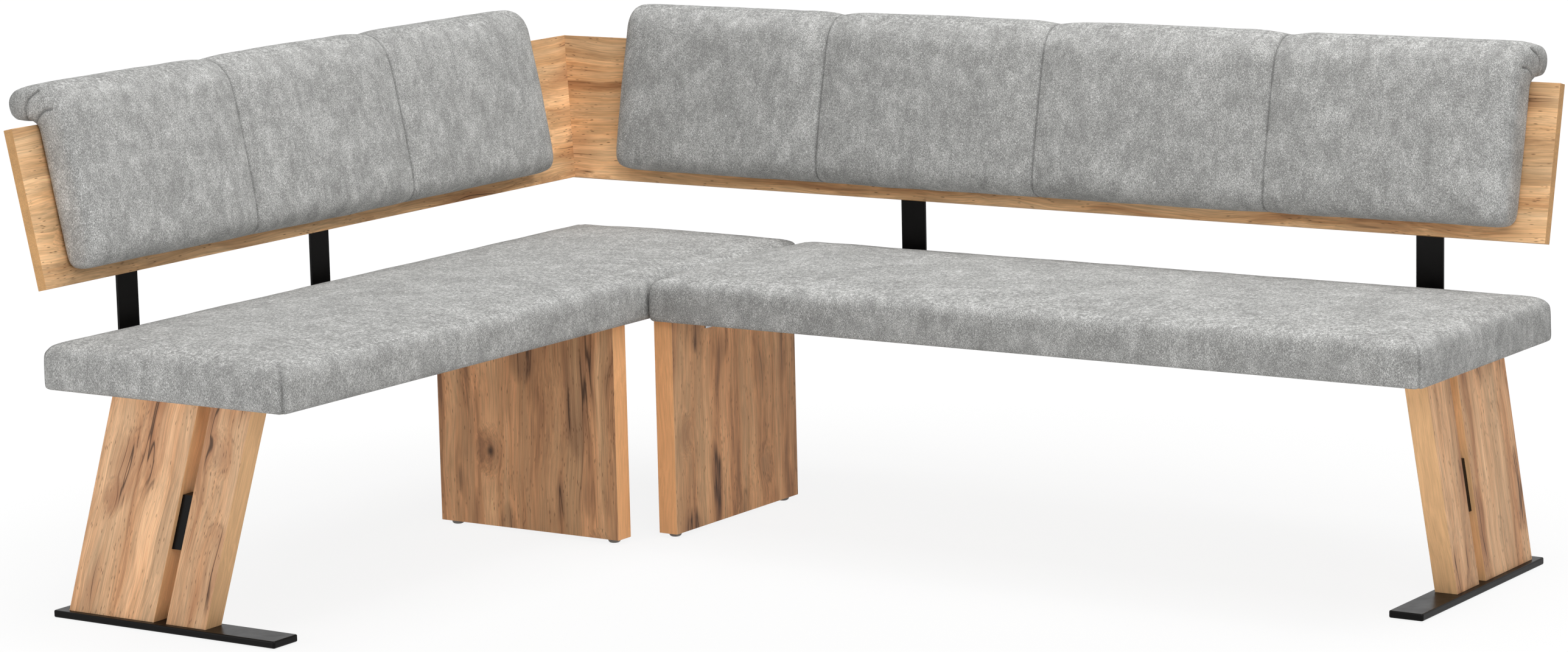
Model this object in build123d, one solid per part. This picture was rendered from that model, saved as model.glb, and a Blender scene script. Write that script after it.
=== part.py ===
"""Corner bench: two upholstered seats in an L, leaning boards for legs, and a padded leaning back.

Both wings are drawn in one wing frame: X runs along the wing from the inner corner of the seats to
the wing's free end, Y runs from the seat's front edge to the back, and Z is up from the floor.
The right wing keeps those axes. The left wing is mirrored about the vertical plane through the
corner. The finished part stands on Z = 0, with its origin under the middle of its outline.
"""

import os
from collections import namedtuple
from math import atan2, cos, degrees, exp, radians, sin, sqrt, tan

from build123d import *

# Seats
SEAT_DEPTH = 507.0
SEAT_UNDERSIDE = 386.0
SEAT_EDGE_THICKNESS = 77.5
SEAT_CROWN = 7.5
SEAT_CROWN_RUN = 125.0
SEAT_EDGE_RADIUS = 17.0
SEAT_JOINT_CLEARANCE = 0.6
LEFT_SEAT_LENGTH = 975.7
RIGHT_SEAT_LENGTH = 1473.6
SEAT_PANEL_THICKNESS = 18.0
SEAT_PANEL_INSET = 12.0

# Boards
BOARD_EDGE_RADIUS = 0.8

# Upright legs near the corner
INNER_LEG_THICKNESS = 37.6
INNER_LEG_SETBACK = 20.4
INNER_LEG_BACK_INSET = 101.2
LEFT_INNER_LEG_OFFSET = 30.2
RIGHT_INNER_LEG_OFFSET = 4.8
GLIDE_DIAMETER = 22.0
GLIDE_HEIGHT = 8.0
GLIDE_DOME_RADIUS = 5.0
GLIDE_INSET = 22.0
GLIDE_PIN_DIAMETER = 3.0
GLIDE_PIN_LENGTH = 18.0

# Leaning legs at the free ends, with depths measured from the seat's front edge at the leg's foot
END_LEG_INSET = 35.0
END_LEG_THICKNESS = 40.0
END_LEG_LEAN = 118.0
END_LEG_FOOT_DEPTH = 209.7
NARROW_BOARD_WIDTH = 83.4
END_LEG_GAP = 26.1
WIDE_BOARD_BACK_INSET = 6.7
SPACER_FOOT_HEIGHT = 138.0
SPACER_HEIGHT = 92.0
SPACER_RECESS = 8.0
SPACER_DOWEL_DIAMETER = 8.0
SPACER_DOWEL_BITE = 18.0
SPACER_DOWEL_SPACING = 50.0

# Floor runners
RUNNER_FRONT_DEPTH = 59.8
RUNNER_BACK_OVERHANG = 19.5
RUNNER_WIDTH = 60.0
RUNNER_THICKNESS = 12.0
RUNNER_EDGE_RADIUS = 2.5
RUNNER_CORNER_RADIUS = 4.0
RUNNER_PAD_THICKNESS = 2.0
RUNNER_PAD_LENGTH = 50.0
RUNNER_PAD_WIDTH = 40.0
RUNNER_PAD_INSET = 12.0
RUNNER_SCREW_BITE = 40.0
RUNNER_SCREW_MARGIN = 26.0

# Back boards
BACK_GAP = 11.5
BACK_FOOT_HEIGHT = 542.7
BACK_HEIGHT = 266.0
BACK_THICKNESS = 19.0
BACK_TILT = 12.75
LEFT_BACK_END_INSET = 39.9
RIGHT_BACK_END_INSET = 23.6

# Back brackets
BRACKET_WIDTH = 50.0
BRACKET_THICKNESS = 5.0
BRACKET_BEND_RADIUS = 6.0
BRACKET_FOOT_LENGTH = 190.0
BRACKET_GRIP = 170.0
BRACKET_EDGE_CLEARANCE = 1.2
BRACKET_EDGE_RADIUS = 1.0
BRACKET_END_INSET = 217.0
INNER_BRACKET_OFFSET = 216.0
BRACKET_SCREW_MARGIN = 25.0
BRACKET_SCREW_PITCH = 60.0

# Back cushions, with thickness measured off the back board and height along its slope
CUSHION_CLEARANCE = 0.3
LEFT_CUSHION_END_INSET = 52.6
RIGHT_CUSHION_END_INSET = 47.3
CUSHION_CORNER_GAP = 119.0
LEFT_CHANNELS = 3
RIGHT_CHANNELS = 4
CUSHION_THICKNESS = 67.8
CUSHION_SEAM_DEPTH = 13.0
CUSHION_SEAM_FADE = 20.0
CUSHION_FOOT = 19.2
CUSHION_FOOT_RADIUS = 26.5
CUSHION_SHOULDER_RADIUS = 57.0
CUSHION_TOP_SWELL = 3.2
CUSHION_END_DEPTH = 29.0
CUSHION_END_RUN = 24.0
CUSHION_END_LIFT = 14.0
ROLL_UNDERSIDE = 273.0
ROLL_RADIUS = 29.5
ROLL_REACH = 56.4
ROLL_SEAM_DEPTH = 6.0
CORE_THICKNESS = 8.0
CORE_HEIGHT = 190.0
CORE_FOOT = 50.0
CORE_END_INSET = 60.0

# Angles and plates
ANGLE_WIDTH = 40.0
ANGLE_DROP = 28.0
ANGLE_REACH = 40.0
ANGLE_THICKNESS = 3.0
INNER_ANGLE_FRONT_MARGIN = 120.0
INNER_ANGLE_BACK_MARGIN = 60.0
JOINING_PLATE_LENGTH = 180.0
JOINING_PLATE_WIDTH = 60.0
JOINING_PLATE_CLEARANCE = 7.2
CORNER_PLATE_REACH = 80.0
CORNER_PLATE_HEIGHT = 120.0
CORNER_PLATE_FOOT = 70.0
CORNER_PLATE_THICKNESS = 3.0

# Screws
SCREW_DIAMETER = 4.5
SCREW_HEAD_DIAMETER = 9.0
SCREW_HEAD_HEIGHT = 2.6
SCREW_CLEARANCE = 0.1
PANEL_SCREW_LENGTH = 16.0
BOARD_SCREW_LENGTH = 20.0
CUSHION_SCREW_BITE = 6.0
CUSHION_SCREW_OFFSET = 80.0
CUSHION_SCREW_MARGIN = 40.0
ANGLE_SCREW_MARGIN = 10.0

# Worked out from the sizes above
INNER_LEG_WIDTH = SEAT_DEPTH - INNER_LEG_SETBACK - INNER_LEG_BACK_INSET
RUNNER_LENGTH = SEAT_DEPTH + RUNNER_BACK_OVERHANG - RUNNER_FRONT_DEPTH
RUNNER_TOP = RUNNER_PAD_THICKNESS + RUNNER_THICKNESS
END_LEG_HEIGHT = SEAT_UNDERSIDE - RUNNER_TOP
LEAN_ANGLE = degrees(atan2(END_LEG_LEAN, END_LEG_HEIGHT))
WIDE_BOARD_FOOT = END_LEG_FOOT_DEPTH + NARROW_BOARD_WIDTH + END_LEG_GAP
WIDE_BOARD_WIDTH = SEAT_DEPTH - WIDE_BOARD_BACK_INSET - WIDE_BOARD_FOOT
BACK_SETBACK = SEAT_DEPTH + BACK_GAP
TILT_SIN = sin(radians(BACK_TILT))
TILT_COS = cos(radians(BACK_TILT))
ROLL_TOP = ROLL_UNDERSIDE + 2 * ROLL_RADIUS
BACK_REACH = (
    BACK_SETBACK
    + (ROLL_REACH - ROLL_RADIUS) * TILT_COS
    + (ROLL_UNDERSIDE + ROLL_RADIUS) * TILT_SIN
    + ROLL_RADIUS
)

# Shares: how high a crown is and how far a cushion's face has swollen half way along, how much the
# cushion's roundings shrink at its ends, and where a seam's fade and an end's rounding are drawn
CROWN_MID_SHARE = 0.75
SWELL_MID_SHARE = 1.2
END_ROUNDING_SHRINK = 0.45
SEAM_SHARES = (0, 0.4, 1, 2.5)
ROUNDING_SHARES = (0, 0.12, 0.4, 1)

# The back board's front face: X along the wing, Y up the slope, Z out towards the sitter
BACK_FACE = Plane((0, BACK_SETBACK, BACK_FOOT_HEIGHT), x_dir=(1, 0, 0), z_dir=(0, -TILT_COS, TILT_SIN))
MITRE = Plane((0, 0, 0), x_dir=(0, 0, 1), z_dir=(1, 1, 0))
BASE = (Align.CENTER, Align.CENTER, Align.MIN)
CORNER = (Align.MIN, Align.MIN, Align.MIN)

Wing = namedtuple("Wing", "name seat_start seat_end inner_leg_offset back_end cushion_end channels")
LEFT = Wing(
    name="left",
    seat_start=-SEAT_DEPTH,
    seat_end=LEFT_SEAT_LENGTH,
    inner_leg_offset=LEFT_INNER_LEG_OFFSET,
    back_end=LEFT_SEAT_LENGTH - LEFT_BACK_END_INSET,
    cushion_end=LEFT_SEAT_LENGTH - LEFT_BACK_END_INSET - LEFT_CUSHION_END_INSET,
    channels=LEFT_CHANNELS,
)
RIGHT = Wing(
    name="right",
    seat_start=SEAT_JOINT_CLEARANCE,
    seat_end=RIGHT_SEAT_LENGTH,
    inner_leg_offset=RIGHT_INNER_LEG_OFFSET,
    back_end=RIGHT_SEAT_LENGTH - RIGHT_BACK_END_INSET,
    cushion_end=RIGHT_SEAT_LENGTH - RIGHT_BACK_END_INSET - RIGHT_CUSHION_END_INSET,
    channels=RIGHT_CHANNELS,
)


def block(low, high):
    """Box between two opposite corners."""
    size = [b - a for a, b in zip(low, high)]
    return Pos(*low) * Box(*size, align=CORNER)


def outline(points):
    """Closed flat face through straight edges."""
    return make_face(Polyline(*points, close=True))


def softened(solid):
    """Board or bar with its sharp edges eased."""
    return fillet(solid.edges(), BOARD_EDGE_RADIUS)


def group(solids):
    """Several loose solids of one kind, kept apart in one node."""
    return Compound([solid for shape in solids for solid in shape.solids()])


def cut_at(solid, spots, tool):
    """Solid with a copy of the tool taken out at every spot."""
    for spot in spots:
        solid = solid - spot * tool
    return solid


# Screws point down their own Z axis, with the underside of a pan head or the top of a sunk head at 0


def pan_screw(length):
    """Pan-head wood screw."""
    head = Cylinder(SCREW_HEAD_DIAMETER / 2, SCREW_HEAD_HEIGHT, align=BASE)
    head = fillet(head.edges().sort_by(Axis.Z)[-1], SCREW_HEAD_HEIGHT / 2)
    return head + Pos(0, 0, -length) * Cylinder(SCREW_DIAMETER / 2, length, align=BASE)


def screw_hole(length):
    """Hole that a pan-head screw of this length needs."""
    radius = SCREW_DIAMETER / 2 + SCREW_CLEARANCE
    return Pos(0, 0, -length) * Cylinder(radius, length, align=BASE)


def sunk_screw(length, clearance=0.0):
    """Countersunk screw, or the hole for it when it is given a clearance."""
    head_radius = SCREW_HEAD_DIAMETER / 2 + clearance
    shank_radius = SCREW_DIAMETER / 2 + clearance
    head = Pos(0, 0, -SCREW_HEAD_HEIGHT) * Cone(shank_radius, head_radius, SCREW_HEAD_HEIGHT, align=BASE)
    return head + Pos(0, 0, -length) * Cylinder(shank_radius, length, align=BASE)


def facing(point, direction):
    """Place for a screw whose head faces the given direction."""
    return Plane(point, z_dir=direction).location


# Seats


def crowned_outline(width, run):
    """Seat profile: flat below, rounded upper edges, and a rise of one crown over the run at each side."""
    shoulder = SEAT_EDGE_THICKNESS - SEAT_EDGE_RADIUS
    edge = SEAT_EDGE_RADIUS
    slant = edge * (1 - sqrt(0.5))
    ridge = SEAT_EDGE_THICKNESS + SEAT_CROWN
    rise = SEAT_EDGE_THICKNESS + SEAT_CROWN * CROWN_MID_SHARE
    left = [
        Line((0, 0), (0, shoulder)),
        ThreePointArc((0, shoulder), (slant, SEAT_EDGE_THICKNESS - slant), (edge, SEAT_EDGE_THICKNESS)),
        ThreePointArc((edge, SEAT_EDGE_THICKNESS), ((edge + run) / 2, rise), (run, ridge)),
    ]
    right = [mirror(curve, about=Plane.YZ.offset(width / 2)) for curve in left]
    level = [Line((run, ridge), (width - run, ridge))] if run < width / 2 else []
    return make_face([Line((0, 0), (width, 0))] + left + level + right)


def seat_panel(wing):
    """Plywood panel that the seat cushion is stretched over, without its screw holes."""
    low = (wing.seat_start + SEAT_PANEL_INSET, SEAT_PANEL_INSET, SEAT_UNDERSIDE)
    high = (
        wing.seat_end - SEAT_PANEL_INSET,
        SEAT_DEPTH - SEAT_PANEL_INSET,
        SEAT_UNDERSIDE + SEAT_PANEL_THICKNESS,
    )
    return block(low, high)


def seat_cushion(wing):
    """Foam and cover over the panel, crowned on top and rounded along its upper edges.

    The profile across the seat and the profile along it both run past the seat, and what they share is
    the cushion.
    """
    length = wing.seat_end - wing.seat_start
    across = Plane(
        (wing.seat_start - SEAT_EDGE_RADIUS, 0, SEAT_UNDERSIDE), x_dir=(0, 1, 0), z_dir=(1, 0, 0)
    )
    along = Plane(
        (wing.seat_start, SEAT_DEPTH + SEAT_EDGE_RADIUS, SEAT_UNDERSIDE), x_dir=(1, 0, 0), z_dir=(0, -1, 0)
    )
    form = extrude(across * crowned_outline(SEAT_DEPTH, SEAT_DEPTH / 2), length + 2 * SEAT_EDGE_RADIUS)
    form = form & extrude(along * crowned_outline(length, SEAT_CROWN_RUN), SEAT_DEPTH + 2 * SEAT_EDGE_RADIUS)
    return form - seat_panel(wing)


# Upright legs


def inner_leg_low(wing):
    """Lower front corner of the upright leg that is nearest to the seat corner."""
    return (wing.inner_leg_offset, INNER_LEG_SETBACK, GLIDE_HEIGHT)


def glide_spots(wing):
    """Middle of each glide's upper face."""
    start, front, foot = inner_leg_low(wing)
    middle = start + INNER_LEG_THICKNESS / 2
    depths = (front + GLIDE_INSET, front + INNER_LEG_WIDTH - GLIDE_INSET)
    return [Pos(middle, depth, foot) for depth in depths]


def glide():
    """Domed glide with the pin that holds it in the leg."""
    dome = Pos(0, 0, -GLIDE_HEIGHT) * Cylinder(GLIDE_DIAMETER / 2, GLIDE_HEIGHT, align=BASE)
    dome = fillet(dome.edges().sort_by(Axis.Z)[0], GLIDE_DOME_RADIUS)
    return dome + Cylinder(GLIDE_PIN_DIAMETER / 2, GLIDE_PIN_LENGTH, align=BASE)


def inner_leg(wing):
    """Upright board under the seat, with holes for its glides."""
    low = inner_leg_low(wing)
    high = (low[0] + INNER_LEG_THICKNESS, low[1] + INNER_LEG_WIDTH, SEAT_UNDERSIDE)
    pin_hole = Cylinder(GLIDE_PIN_DIAMETER / 2 + SCREW_CLEARANCE, GLIDE_PIN_LENGTH, align=BASE)
    return cut_at(softened(block(low, high)), glide_spots(wing), pin_hole)


def inner_angle_depths():
    """Depth of each angle on an upright leg."""
    return (
        INNER_LEG_SETBACK + INNER_ANGLE_FRONT_MARGIN,
        INNER_LEG_SETBACK + INNER_LEG_WIDTH - INNER_ANGLE_BACK_MARGIN,
    )


# Steel angles between a leg's face and the panel above it


def angle(face, depth, side):
    """Steel angle on a leg's face at this X, reaching towards side +1 or -1 under the panel."""
    half = ANGLE_WIDTH / 2
    top = SEAT_UNDERSIDE
    reach, sheet = side * ANGLE_REACH, side * ANGLE_THICKNESS
    points = [
        (face, top),
        (face + reach, top),
        (face + reach, top - ANGLE_THICKNESS),
        (face + sheet, top - ANGLE_THICKNESS),
        (face + sheet, top - ANGLE_DROP),
        (face, top - ANGLE_DROP),
    ]
    side_on = Plane((0, depth + half, 0), x_dir=(1, 0, 0), z_dir=(0, -1, 0))
    return extrude(side_on * outline(points), ANGLE_WIDTH)


def angle_panel_spots(face, depth, side):
    """Screws from an angle up into the panel."""
    along = face + side * (ANGLE_REACH - ANGLE_SCREW_MARGIN)
    spread = ANGLE_WIDTH / 2 - ANGLE_SCREW_MARGIN
    height = SEAT_UNDERSIDE - ANGLE_THICKNESS
    return [facing((along, depth + offset, height), (0, 0, -1)) for offset in (-spread, spread)]


def angle_leg_spots(face, depth, side):
    """Screws from an angle into the leg."""
    along = face + side * ANGLE_THICKNESS
    spread = ANGLE_WIDTH / 2 - ANGLE_SCREW_MARGIN
    height = SEAT_UNDERSIDE - ANGLE_DROP + ANGLE_SCREW_MARGIN
    return [facing((along, depth + offset, height), (side, 0, 0)) for offset in (-spread, spread)]


class AngleSet:
    """Row of angles on one face of a leg, with their screws."""

    def __init__(self, face, depths, side):
        self.places = [(face, depth, side) for depth in depths]
        self.panel_spots = [spot for place in self.places for spot in angle_panel_spots(*place)]
        self.leg_spots = [spot for place in self.places for spot in angle_leg_spots(*place)]

    def angles(self):
        """The angles, drilled for their screws."""
        drilled = []
        for place in self.places:
            one = cut_at(angle(*place), angle_panel_spots(*place), screw_hole(PANEL_SCREW_LENGTH))
            drilled.append(cut_at(one, angle_leg_spots(*place), screw_hole(BOARD_SCREW_LENGTH)))
        return drilled

    def screws(self):
        """All the screws of these angles."""
        upward = [spot * pan_screw(PANEL_SCREW_LENGTH) for spot in self.panel_spots]
        sideways = [spot * pan_screw(BOARD_SCREW_LENGTH) for spot in self.leg_spots]
        return upward + sideways


def inner_leg_angles(wing):
    """Angles on the upright leg's face that looks along the wing."""
    return AngleSet(wing.inner_leg_offset + INNER_LEG_THICKNESS, inner_angle_depths(), 1)


def joining_angles():
    """Angles on the right upright leg's other face, which carry the corner of the left seat."""
    return AngleSet(RIGHT.inner_leg_offset, inner_angle_depths(), -1)


# Leaning legs


def lean_depth(height):
    """How far the leaning leg has come forward at this height above the floor."""
    return (height - RUNNER_TOP) / END_LEG_HEIGHT * END_LEG_LEAN


def leaning_slab(foot_depth, width, bottom, top, start, end):
    """Slab that follows the leg's lean, between two heights and between two places along the wing."""
    back = foot_depth + width
    points = [
        (foot_depth - lean_depth(bottom), bottom),
        (back - lean_depth(bottom), bottom),
        (back - lean_depth(top), top),
        (foot_depth - lean_depth(top), top),
    ]
    side_on = Plane((start, 0, 0), x_dir=(0, 1, 0), z_dir=(1, 0, 0))
    return extrude(side_on * outline(points), end - start)


def end_leg_span(wing):
    """Inner and outer face of the leaning leg along the wing."""
    outer = wing.seat_end - END_LEG_INSET
    return outer - END_LEG_THICKNESS, outer


def leg_board(wing, foot_depth, width):
    """One leaning board from the runner to the seat."""
    start, end = end_leg_span(wing)
    return softened(leaning_slab(foot_depth, width, RUNNER_TOP, SEAT_UNDERSIDE, start, end))


def spacer(wing):
    """Steel block in the gap between the leaning boards."""
    start, end = end_leg_span(wing)
    gap_foot = END_LEG_FOOT_DEPTH + NARROW_BOARD_WIDTH
    top = SPACER_FOOT_HEIGHT + SPACER_HEIGHT
    return leaning_slab(
        gap_foot, END_LEG_GAP, SPACER_FOOT_HEIGHT, top, start + SPACER_RECESS, end - SPACER_RECESS
    )


def spacer_dowel_spots(wing):
    """Middle of each dowel, with its axis square to the lean."""
    start, end = end_leg_span(wing)
    middle = SPACER_FOOT_HEIGHT + SPACER_HEIGHT / 2
    lean = radians(LEAN_ANGLE)
    spots = []
    for side in (-0.5, 0.5):
        height = middle + side * SPACER_DOWEL_SPACING
        depth = END_LEG_FOOT_DEPTH + NARROW_BOARD_WIDTH + END_LEG_GAP / 2 - lean_depth(height)
        spots.append(facing(((start + end) / 2, depth, height), (0, cos(lean), sin(lean))))
    return spots


def spacer_dowel(clearance=0.0):
    """Dowel through the spacer into both boards, or the hole for it when it is given a clearance."""
    length = END_LEG_GAP * cos(radians(LEAN_ANGLE)) + 2 * SPACER_DOWEL_BITE
    return Cylinder(SPACER_DOWEL_DIAMETER / 2 + clearance, length + 2 * clearance)


def runner_middle(wing):
    """Place along the wing of the runner's long axis."""
    start, end = end_leg_span(wing)
    return (start + end) / 2


def runner_screw_spots(wing):
    """Screws from under the runner into the ends of the leaning boards."""
    depths = [
        END_LEG_FOOT_DEPTH + RUNNER_SCREW_MARGIN,
        END_LEG_FOOT_DEPTH + NARROW_BOARD_WIDTH - RUNNER_SCREW_MARGIN,
        WIDE_BOARD_FOOT + RUNNER_SCREW_MARGIN,
        WIDE_BOARD_FOOT + WIDE_BOARD_WIDTH - RUNNER_SCREW_MARGIN,
    ]
    return [facing((runner_middle(wing), depth, RUNNER_PAD_THICKNESS), (0, 0, -1)) for depth in depths]


def runner(wing):
    """Flat bar on the floor under the leaning boards."""
    half = RUNNER_WIDTH / 2
    middle = runner_middle(wing)
    low = (middle - half, RUNNER_FRONT_DEPTH, RUNNER_PAD_THICKNESS)
    high = (middle + half, RUNNER_FRONT_DEPTH + RUNNER_LENGTH, RUNNER_TOP)
    bar = block(low, high)
    bar = fillet(bar.edges().filter_by(Axis.Z), RUNNER_CORNER_RADIUS)
    return fillet(bar.faces().filter_by(Axis.Z).edges(), RUNNER_EDGE_RADIUS)


def runner_pads(wing):
    """Thin pads under both ends of the runner."""
    middle = runner_middle(wing)
    offset = RUNNER_PAD_INSET + RUNNER_PAD_LENGTH / 2
    depths = (RUNNER_FRONT_DEPTH + offset, RUNNER_FRONT_DEPTH + RUNNER_LENGTH - offset)
    pad = Box(RUNNER_PAD_WIDTH, RUNNER_PAD_LENGTH, RUNNER_PAD_THICKNESS, align=BASE)
    return [Pos(middle, depth, 0) * pad for depth in depths]


def end_leg_angles(wing):
    """Angles on the hidden face of the leaning boards."""
    start, _ = end_leg_span(wing)
    level = SEAT_UNDERSIDE - ANGLE_DROP / 2
    depths = (
        END_LEG_FOOT_DEPTH + NARROW_BOARD_WIDTH / 2 - lean_depth(level),
        WIDE_BOARD_FOOT + WIDE_BOARD_WIDTH / 2 - lean_depth(level),
    )
    return AngleSet(start, depths, -1)


# Back boards and their brackets


def on_back(wing_x, height, off):
    """Point given along the wing, up the back board's slope and out from its front face."""
    return BACK_FACE.from_local_coords((wing_x, height, off))


def back_slab(start, end, foot, top, rear, front):
    """Slab parallel to the back board, in the back board's own directions."""
    return BACK_FACE * block((start, foot, rear), (end, top, front))


def back_board(wing):
    """Leaning board behind the seat, mitred at the corner."""
    beyond_corner = -BACK_REACH - BACK_THICKNESS
    slab = softened(back_slab(beyond_corner, wing.back_end, 0, BACK_HEIGHT, -BACK_THICKNESS, 0))
    return split(slab, bisect_by=MITRE, keep=Keep.TOP)


def bracket_centres(wing):
    """Place along the wing of the inner and the outer bracket."""
    return INNER_BRACKET_OFFSET, wing.back_end - BRACKET_END_INSET


def bracket_front():
    """Depth of the bracket's upright front face, just behind the back board's lower edge."""
    return BACK_SETBACK + BACK_THICKNESS * TILT_COS + BRACKET_EDGE_CLEARANCE


def bracket_knee():
    """Height at which the bracket bends to follow the back board."""
    board_foot = BACK_FOOT_HEIGHT - BACK_THICKNESS * TILT_SIN
    return board_foot + BRACKET_EDGE_CLEARANCE / tan(radians(BACK_TILT))


def bracket(centre):
    """Flat bar bent into a foot under the seat, an upright, and a grip on the back board's rear face."""
    front, knee = bracket_front(), bracket_knee()
    toe = front - BRACKET_FOOT_LENGTH
    sole = SEAT_UNDERSIDE - BRACKET_THICKNESS
    knee_behind = knee - BRACKET_THICKNESS * tan(radians(BACK_TILT / 2))
    tip = (front + BRACKET_GRIP * TILT_SIN, knee + BRACKET_GRIP * TILT_COS)
    points = [
        (toe, SEAT_UNDERSIDE),
        (front, SEAT_UNDERSIDE),
        (front, knee),
        tip,
        (tip[0] + BRACKET_THICKNESS * TILT_COS, tip[1] - BRACKET_THICKNESS * TILT_SIN),
        (front + BRACKET_THICKNESS, knee_behind),
        (front + BRACKET_THICKNESS, sole),
        (toe, sole),
    ]
    profile = outline(points)
    inside = profile.vertices().sort_by_distance((front, SEAT_UNDERSIDE))[0]
    profile = fillet(inside, BRACKET_BEND_RADIUS)
    outside = profile.vertices().sort_by_distance((front + BRACKET_THICKNESS, sole))[0]
    profile = fillet(outside, BRACKET_BEND_RADIUS + BRACKET_THICKNESS)
    side_on = Plane((centre - BRACKET_WIDTH / 2, 0, 0), x_dir=(0, 1, 0), z_dir=(1, 0, 0))
    bar = extrude(side_on * profile, BRACKET_WIDTH)
    sides = bar.faces().filter_by(Axis.X)
    return fillet(sides.edges(), BRACKET_EDGE_RADIUS)


def bracket_panel_spots(centre):
    """Screws from the bracket's foot up into the seat panel."""
    toe = bracket_front() - BRACKET_FOOT_LENGTH
    height = SEAT_UNDERSIDE - BRACKET_THICKNESS
    depths = (toe + BRACKET_SCREW_MARGIN, toe + BRACKET_SCREW_MARGIN + BRACKET_SCREW_PITCH)
    return [facing((centre, depth, height), (0, 0, -1)) for depth in depths]


def bracket_board_spots(centre):
    """Screws from the bracket's grip into the back board."""
    knee_along_slope = (bracket_knee() - BACK_FOOT_HEIGHT + BACK_THICKNESS * TILT_SIN) / TILT_COS
    tip = knee_along_slope + BRACKET_GRIP - BRACKET_SCREW_MARGIN
    off = -BACK_THICKNESS - BRACKET_THICKNESS
    rear = -BACK_FACE.z_dir
    return [facing(on_back(centre, height, off), rear) for height in (tip - BRACKET_SCREW_PITCH, tip)]


# Back cushions


def cushion_span(wing):
    """Both ends of the back cushion along the wing."""
    return CUSHION_CORNER_GAP - BACK_SETBACK, wing.cushion_end


def cushion_section(place, sink, end_sink):
    """Closed profile of the back cushion, sunk by a seam and by the rounding at the cushion's ends.

    The sink and the end sink run from 0, where the cushion is fullest, to 1.
    """
    front = CUSHION_THICKNESS - CUSHION_SEAM_DEPTH * sink - CUSHION_END_DEPTH * end_sink
    dip = ROLL_SEAM_DEPTH * max(sink, end_sink)
    foot = CUSHION_FOOT + CUSHION_END_LIFT * end_sink
    roll = ROLL_RADIUS - dip / 2
    top = ROLL_TOP - dip
    under = top - 2 * roll
    rear = dip - ROLL_REACH
    low = CUSHION_FOOT_RADIUS * (1 - END_ROUNDING_SHRINK * end_sink)
    high = CUSHION_SHOULDER_RADIUS * (1 - END_ROUNDING_SHRINK * end_sink)
    shelf = front + CUSHION_TOP_SWELL
    edge = 1 - sqrt(0.5)
    back = CUSHION_CLEARANCE
    curves = [
        Line((back, foot), (front - low, foot)),
        ThreePointArc((front - low, foot), (front - low * edge, foot + low * edge), (front, foot + low)),
        ThreePointArc(
            (front, foot + low),
            (front + CUSHION_TOP_SWELL * SWELL_MID_SHARE, (foot + low + top - high) / 2),
            (shelf, top - high),
        ),
        ThreePointArc((shelf, top - high), (shelf - high * edge, top - high * edge), (shelf - high, top)),
        Line((shelf - high, top), (rear + roll, top)),
        ThreePointArc((rear + roll, top), (rear + roll * edge, top - roll * edge), (rear, top - roll)),
        ThreePointArc((rear, top - roll), (rear + roll * edge, under + roll * edge), (rear + roll, under)),
        Line((rear + roll, under), (back, under)),
        Line((back, under), (back, foot)),
    ]
    side_on = Plane(on_back(place, 0, 0), x_dir=BACK_FACE.z_dir, z_dir=(-1, 0, 0))
    return side_on * make_face(curves)


def cushion_stations(wing):
    """Places along the cushion where its profile is drawn, with the sink of its seams and of its ends."""
    start, end = cushion_span(wing)
    pitch = (end - start) / wing.channels
    stations = []
    for index in range(wing.channels + 1):
        seam = start + index * pitch
        is_end = index in (0, wing.channels)
        for share in ROUNDING_SHARES if is_end else SEAM_SHARES:
            sink = 0 if is_end else exp(-share)
            end_sink = 1 - sqrt(1 - (1 - share) ** 2) if is_end else 0
            off = share * (CUSHION_END_RUN if is_end else CUSHION_SEAM_FADE)
            sides = {1} if index == 0 else {-1} if index == wing.channels else {-1, 1}
            stations += [(seam + side * off, sink, end_sink) for side in sides]
        if index < wing.channels:
            stations.append((seam + pitch / 2, 0, 0))
    return sorted(set(stations))


def cushion_core(wing):
    """Thin plywood inside the back cushion, without its screw holes."""
    start, end = cushion_span(wing)
    return back_slab(
        start + CORE_END_INSET,
        end - CORE_END_INSET,
        CORE_FOOT,
        CORE_FOOT + CORE_HEIGHT,
        0,
        CORE_THICKNESS,
    )


def back_cushion(wing):
    """Channelled pad that stands on the back board's face and rolls over its upper edge."""
    sections = [cushion_section(*station) for station in cushion_stations(wing)]
    return loft(sections, ruled=True) - cushion_core(wing)


def cushion_screw_spots(wing):
    """Screws through the back board into the cushion's core, in two rows that keep clear of the brackets."""
    inner, outer = bracket_centres(wing)
    first = cushion_span(wing)[0] + CORE_END_INSET + CUSHION_SCREW_MARGIN
    beside = [centre + side * CUSHION_SCREW_OFFSET for centre in (inner, outer) for side in (-1, 1)]
    rows = (CORE_FOOT + CUSHION_SCREW_MARGIN, CORE_FOOT + CORE_HEIGHT - CUSHION_SCREW_MARGIN)
    rear = -BACK_FACE.z_dir
    return [
        facing(on_back(along, row, -BACK_THICKNESS), rear)
        for along in (first, (inner + outer) / 2, *beside)
        for row in rows
    ]


# Corner joints


def joining_plate_depths():
    """Front and back edge of the joining plate."""
    front = INNER_LEG_SETBACK + INNER_LEG_WIDTH + JOINING_PLATE_CLEARANCE
    return front, front + JOINING_PLATE_WIDTH


def joining_plate():
    """Flat plate under the joint of the two seats, behind the upright leg."""
    front, back = joining_plate_depths()
    half = JOINING_PLATE_LENGTH / 2
    return block((-half, front, SEAT_UNDERSIDE - ANGLE_THICKNESS), (half, back, SEAT_UNDERSIDE))


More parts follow.
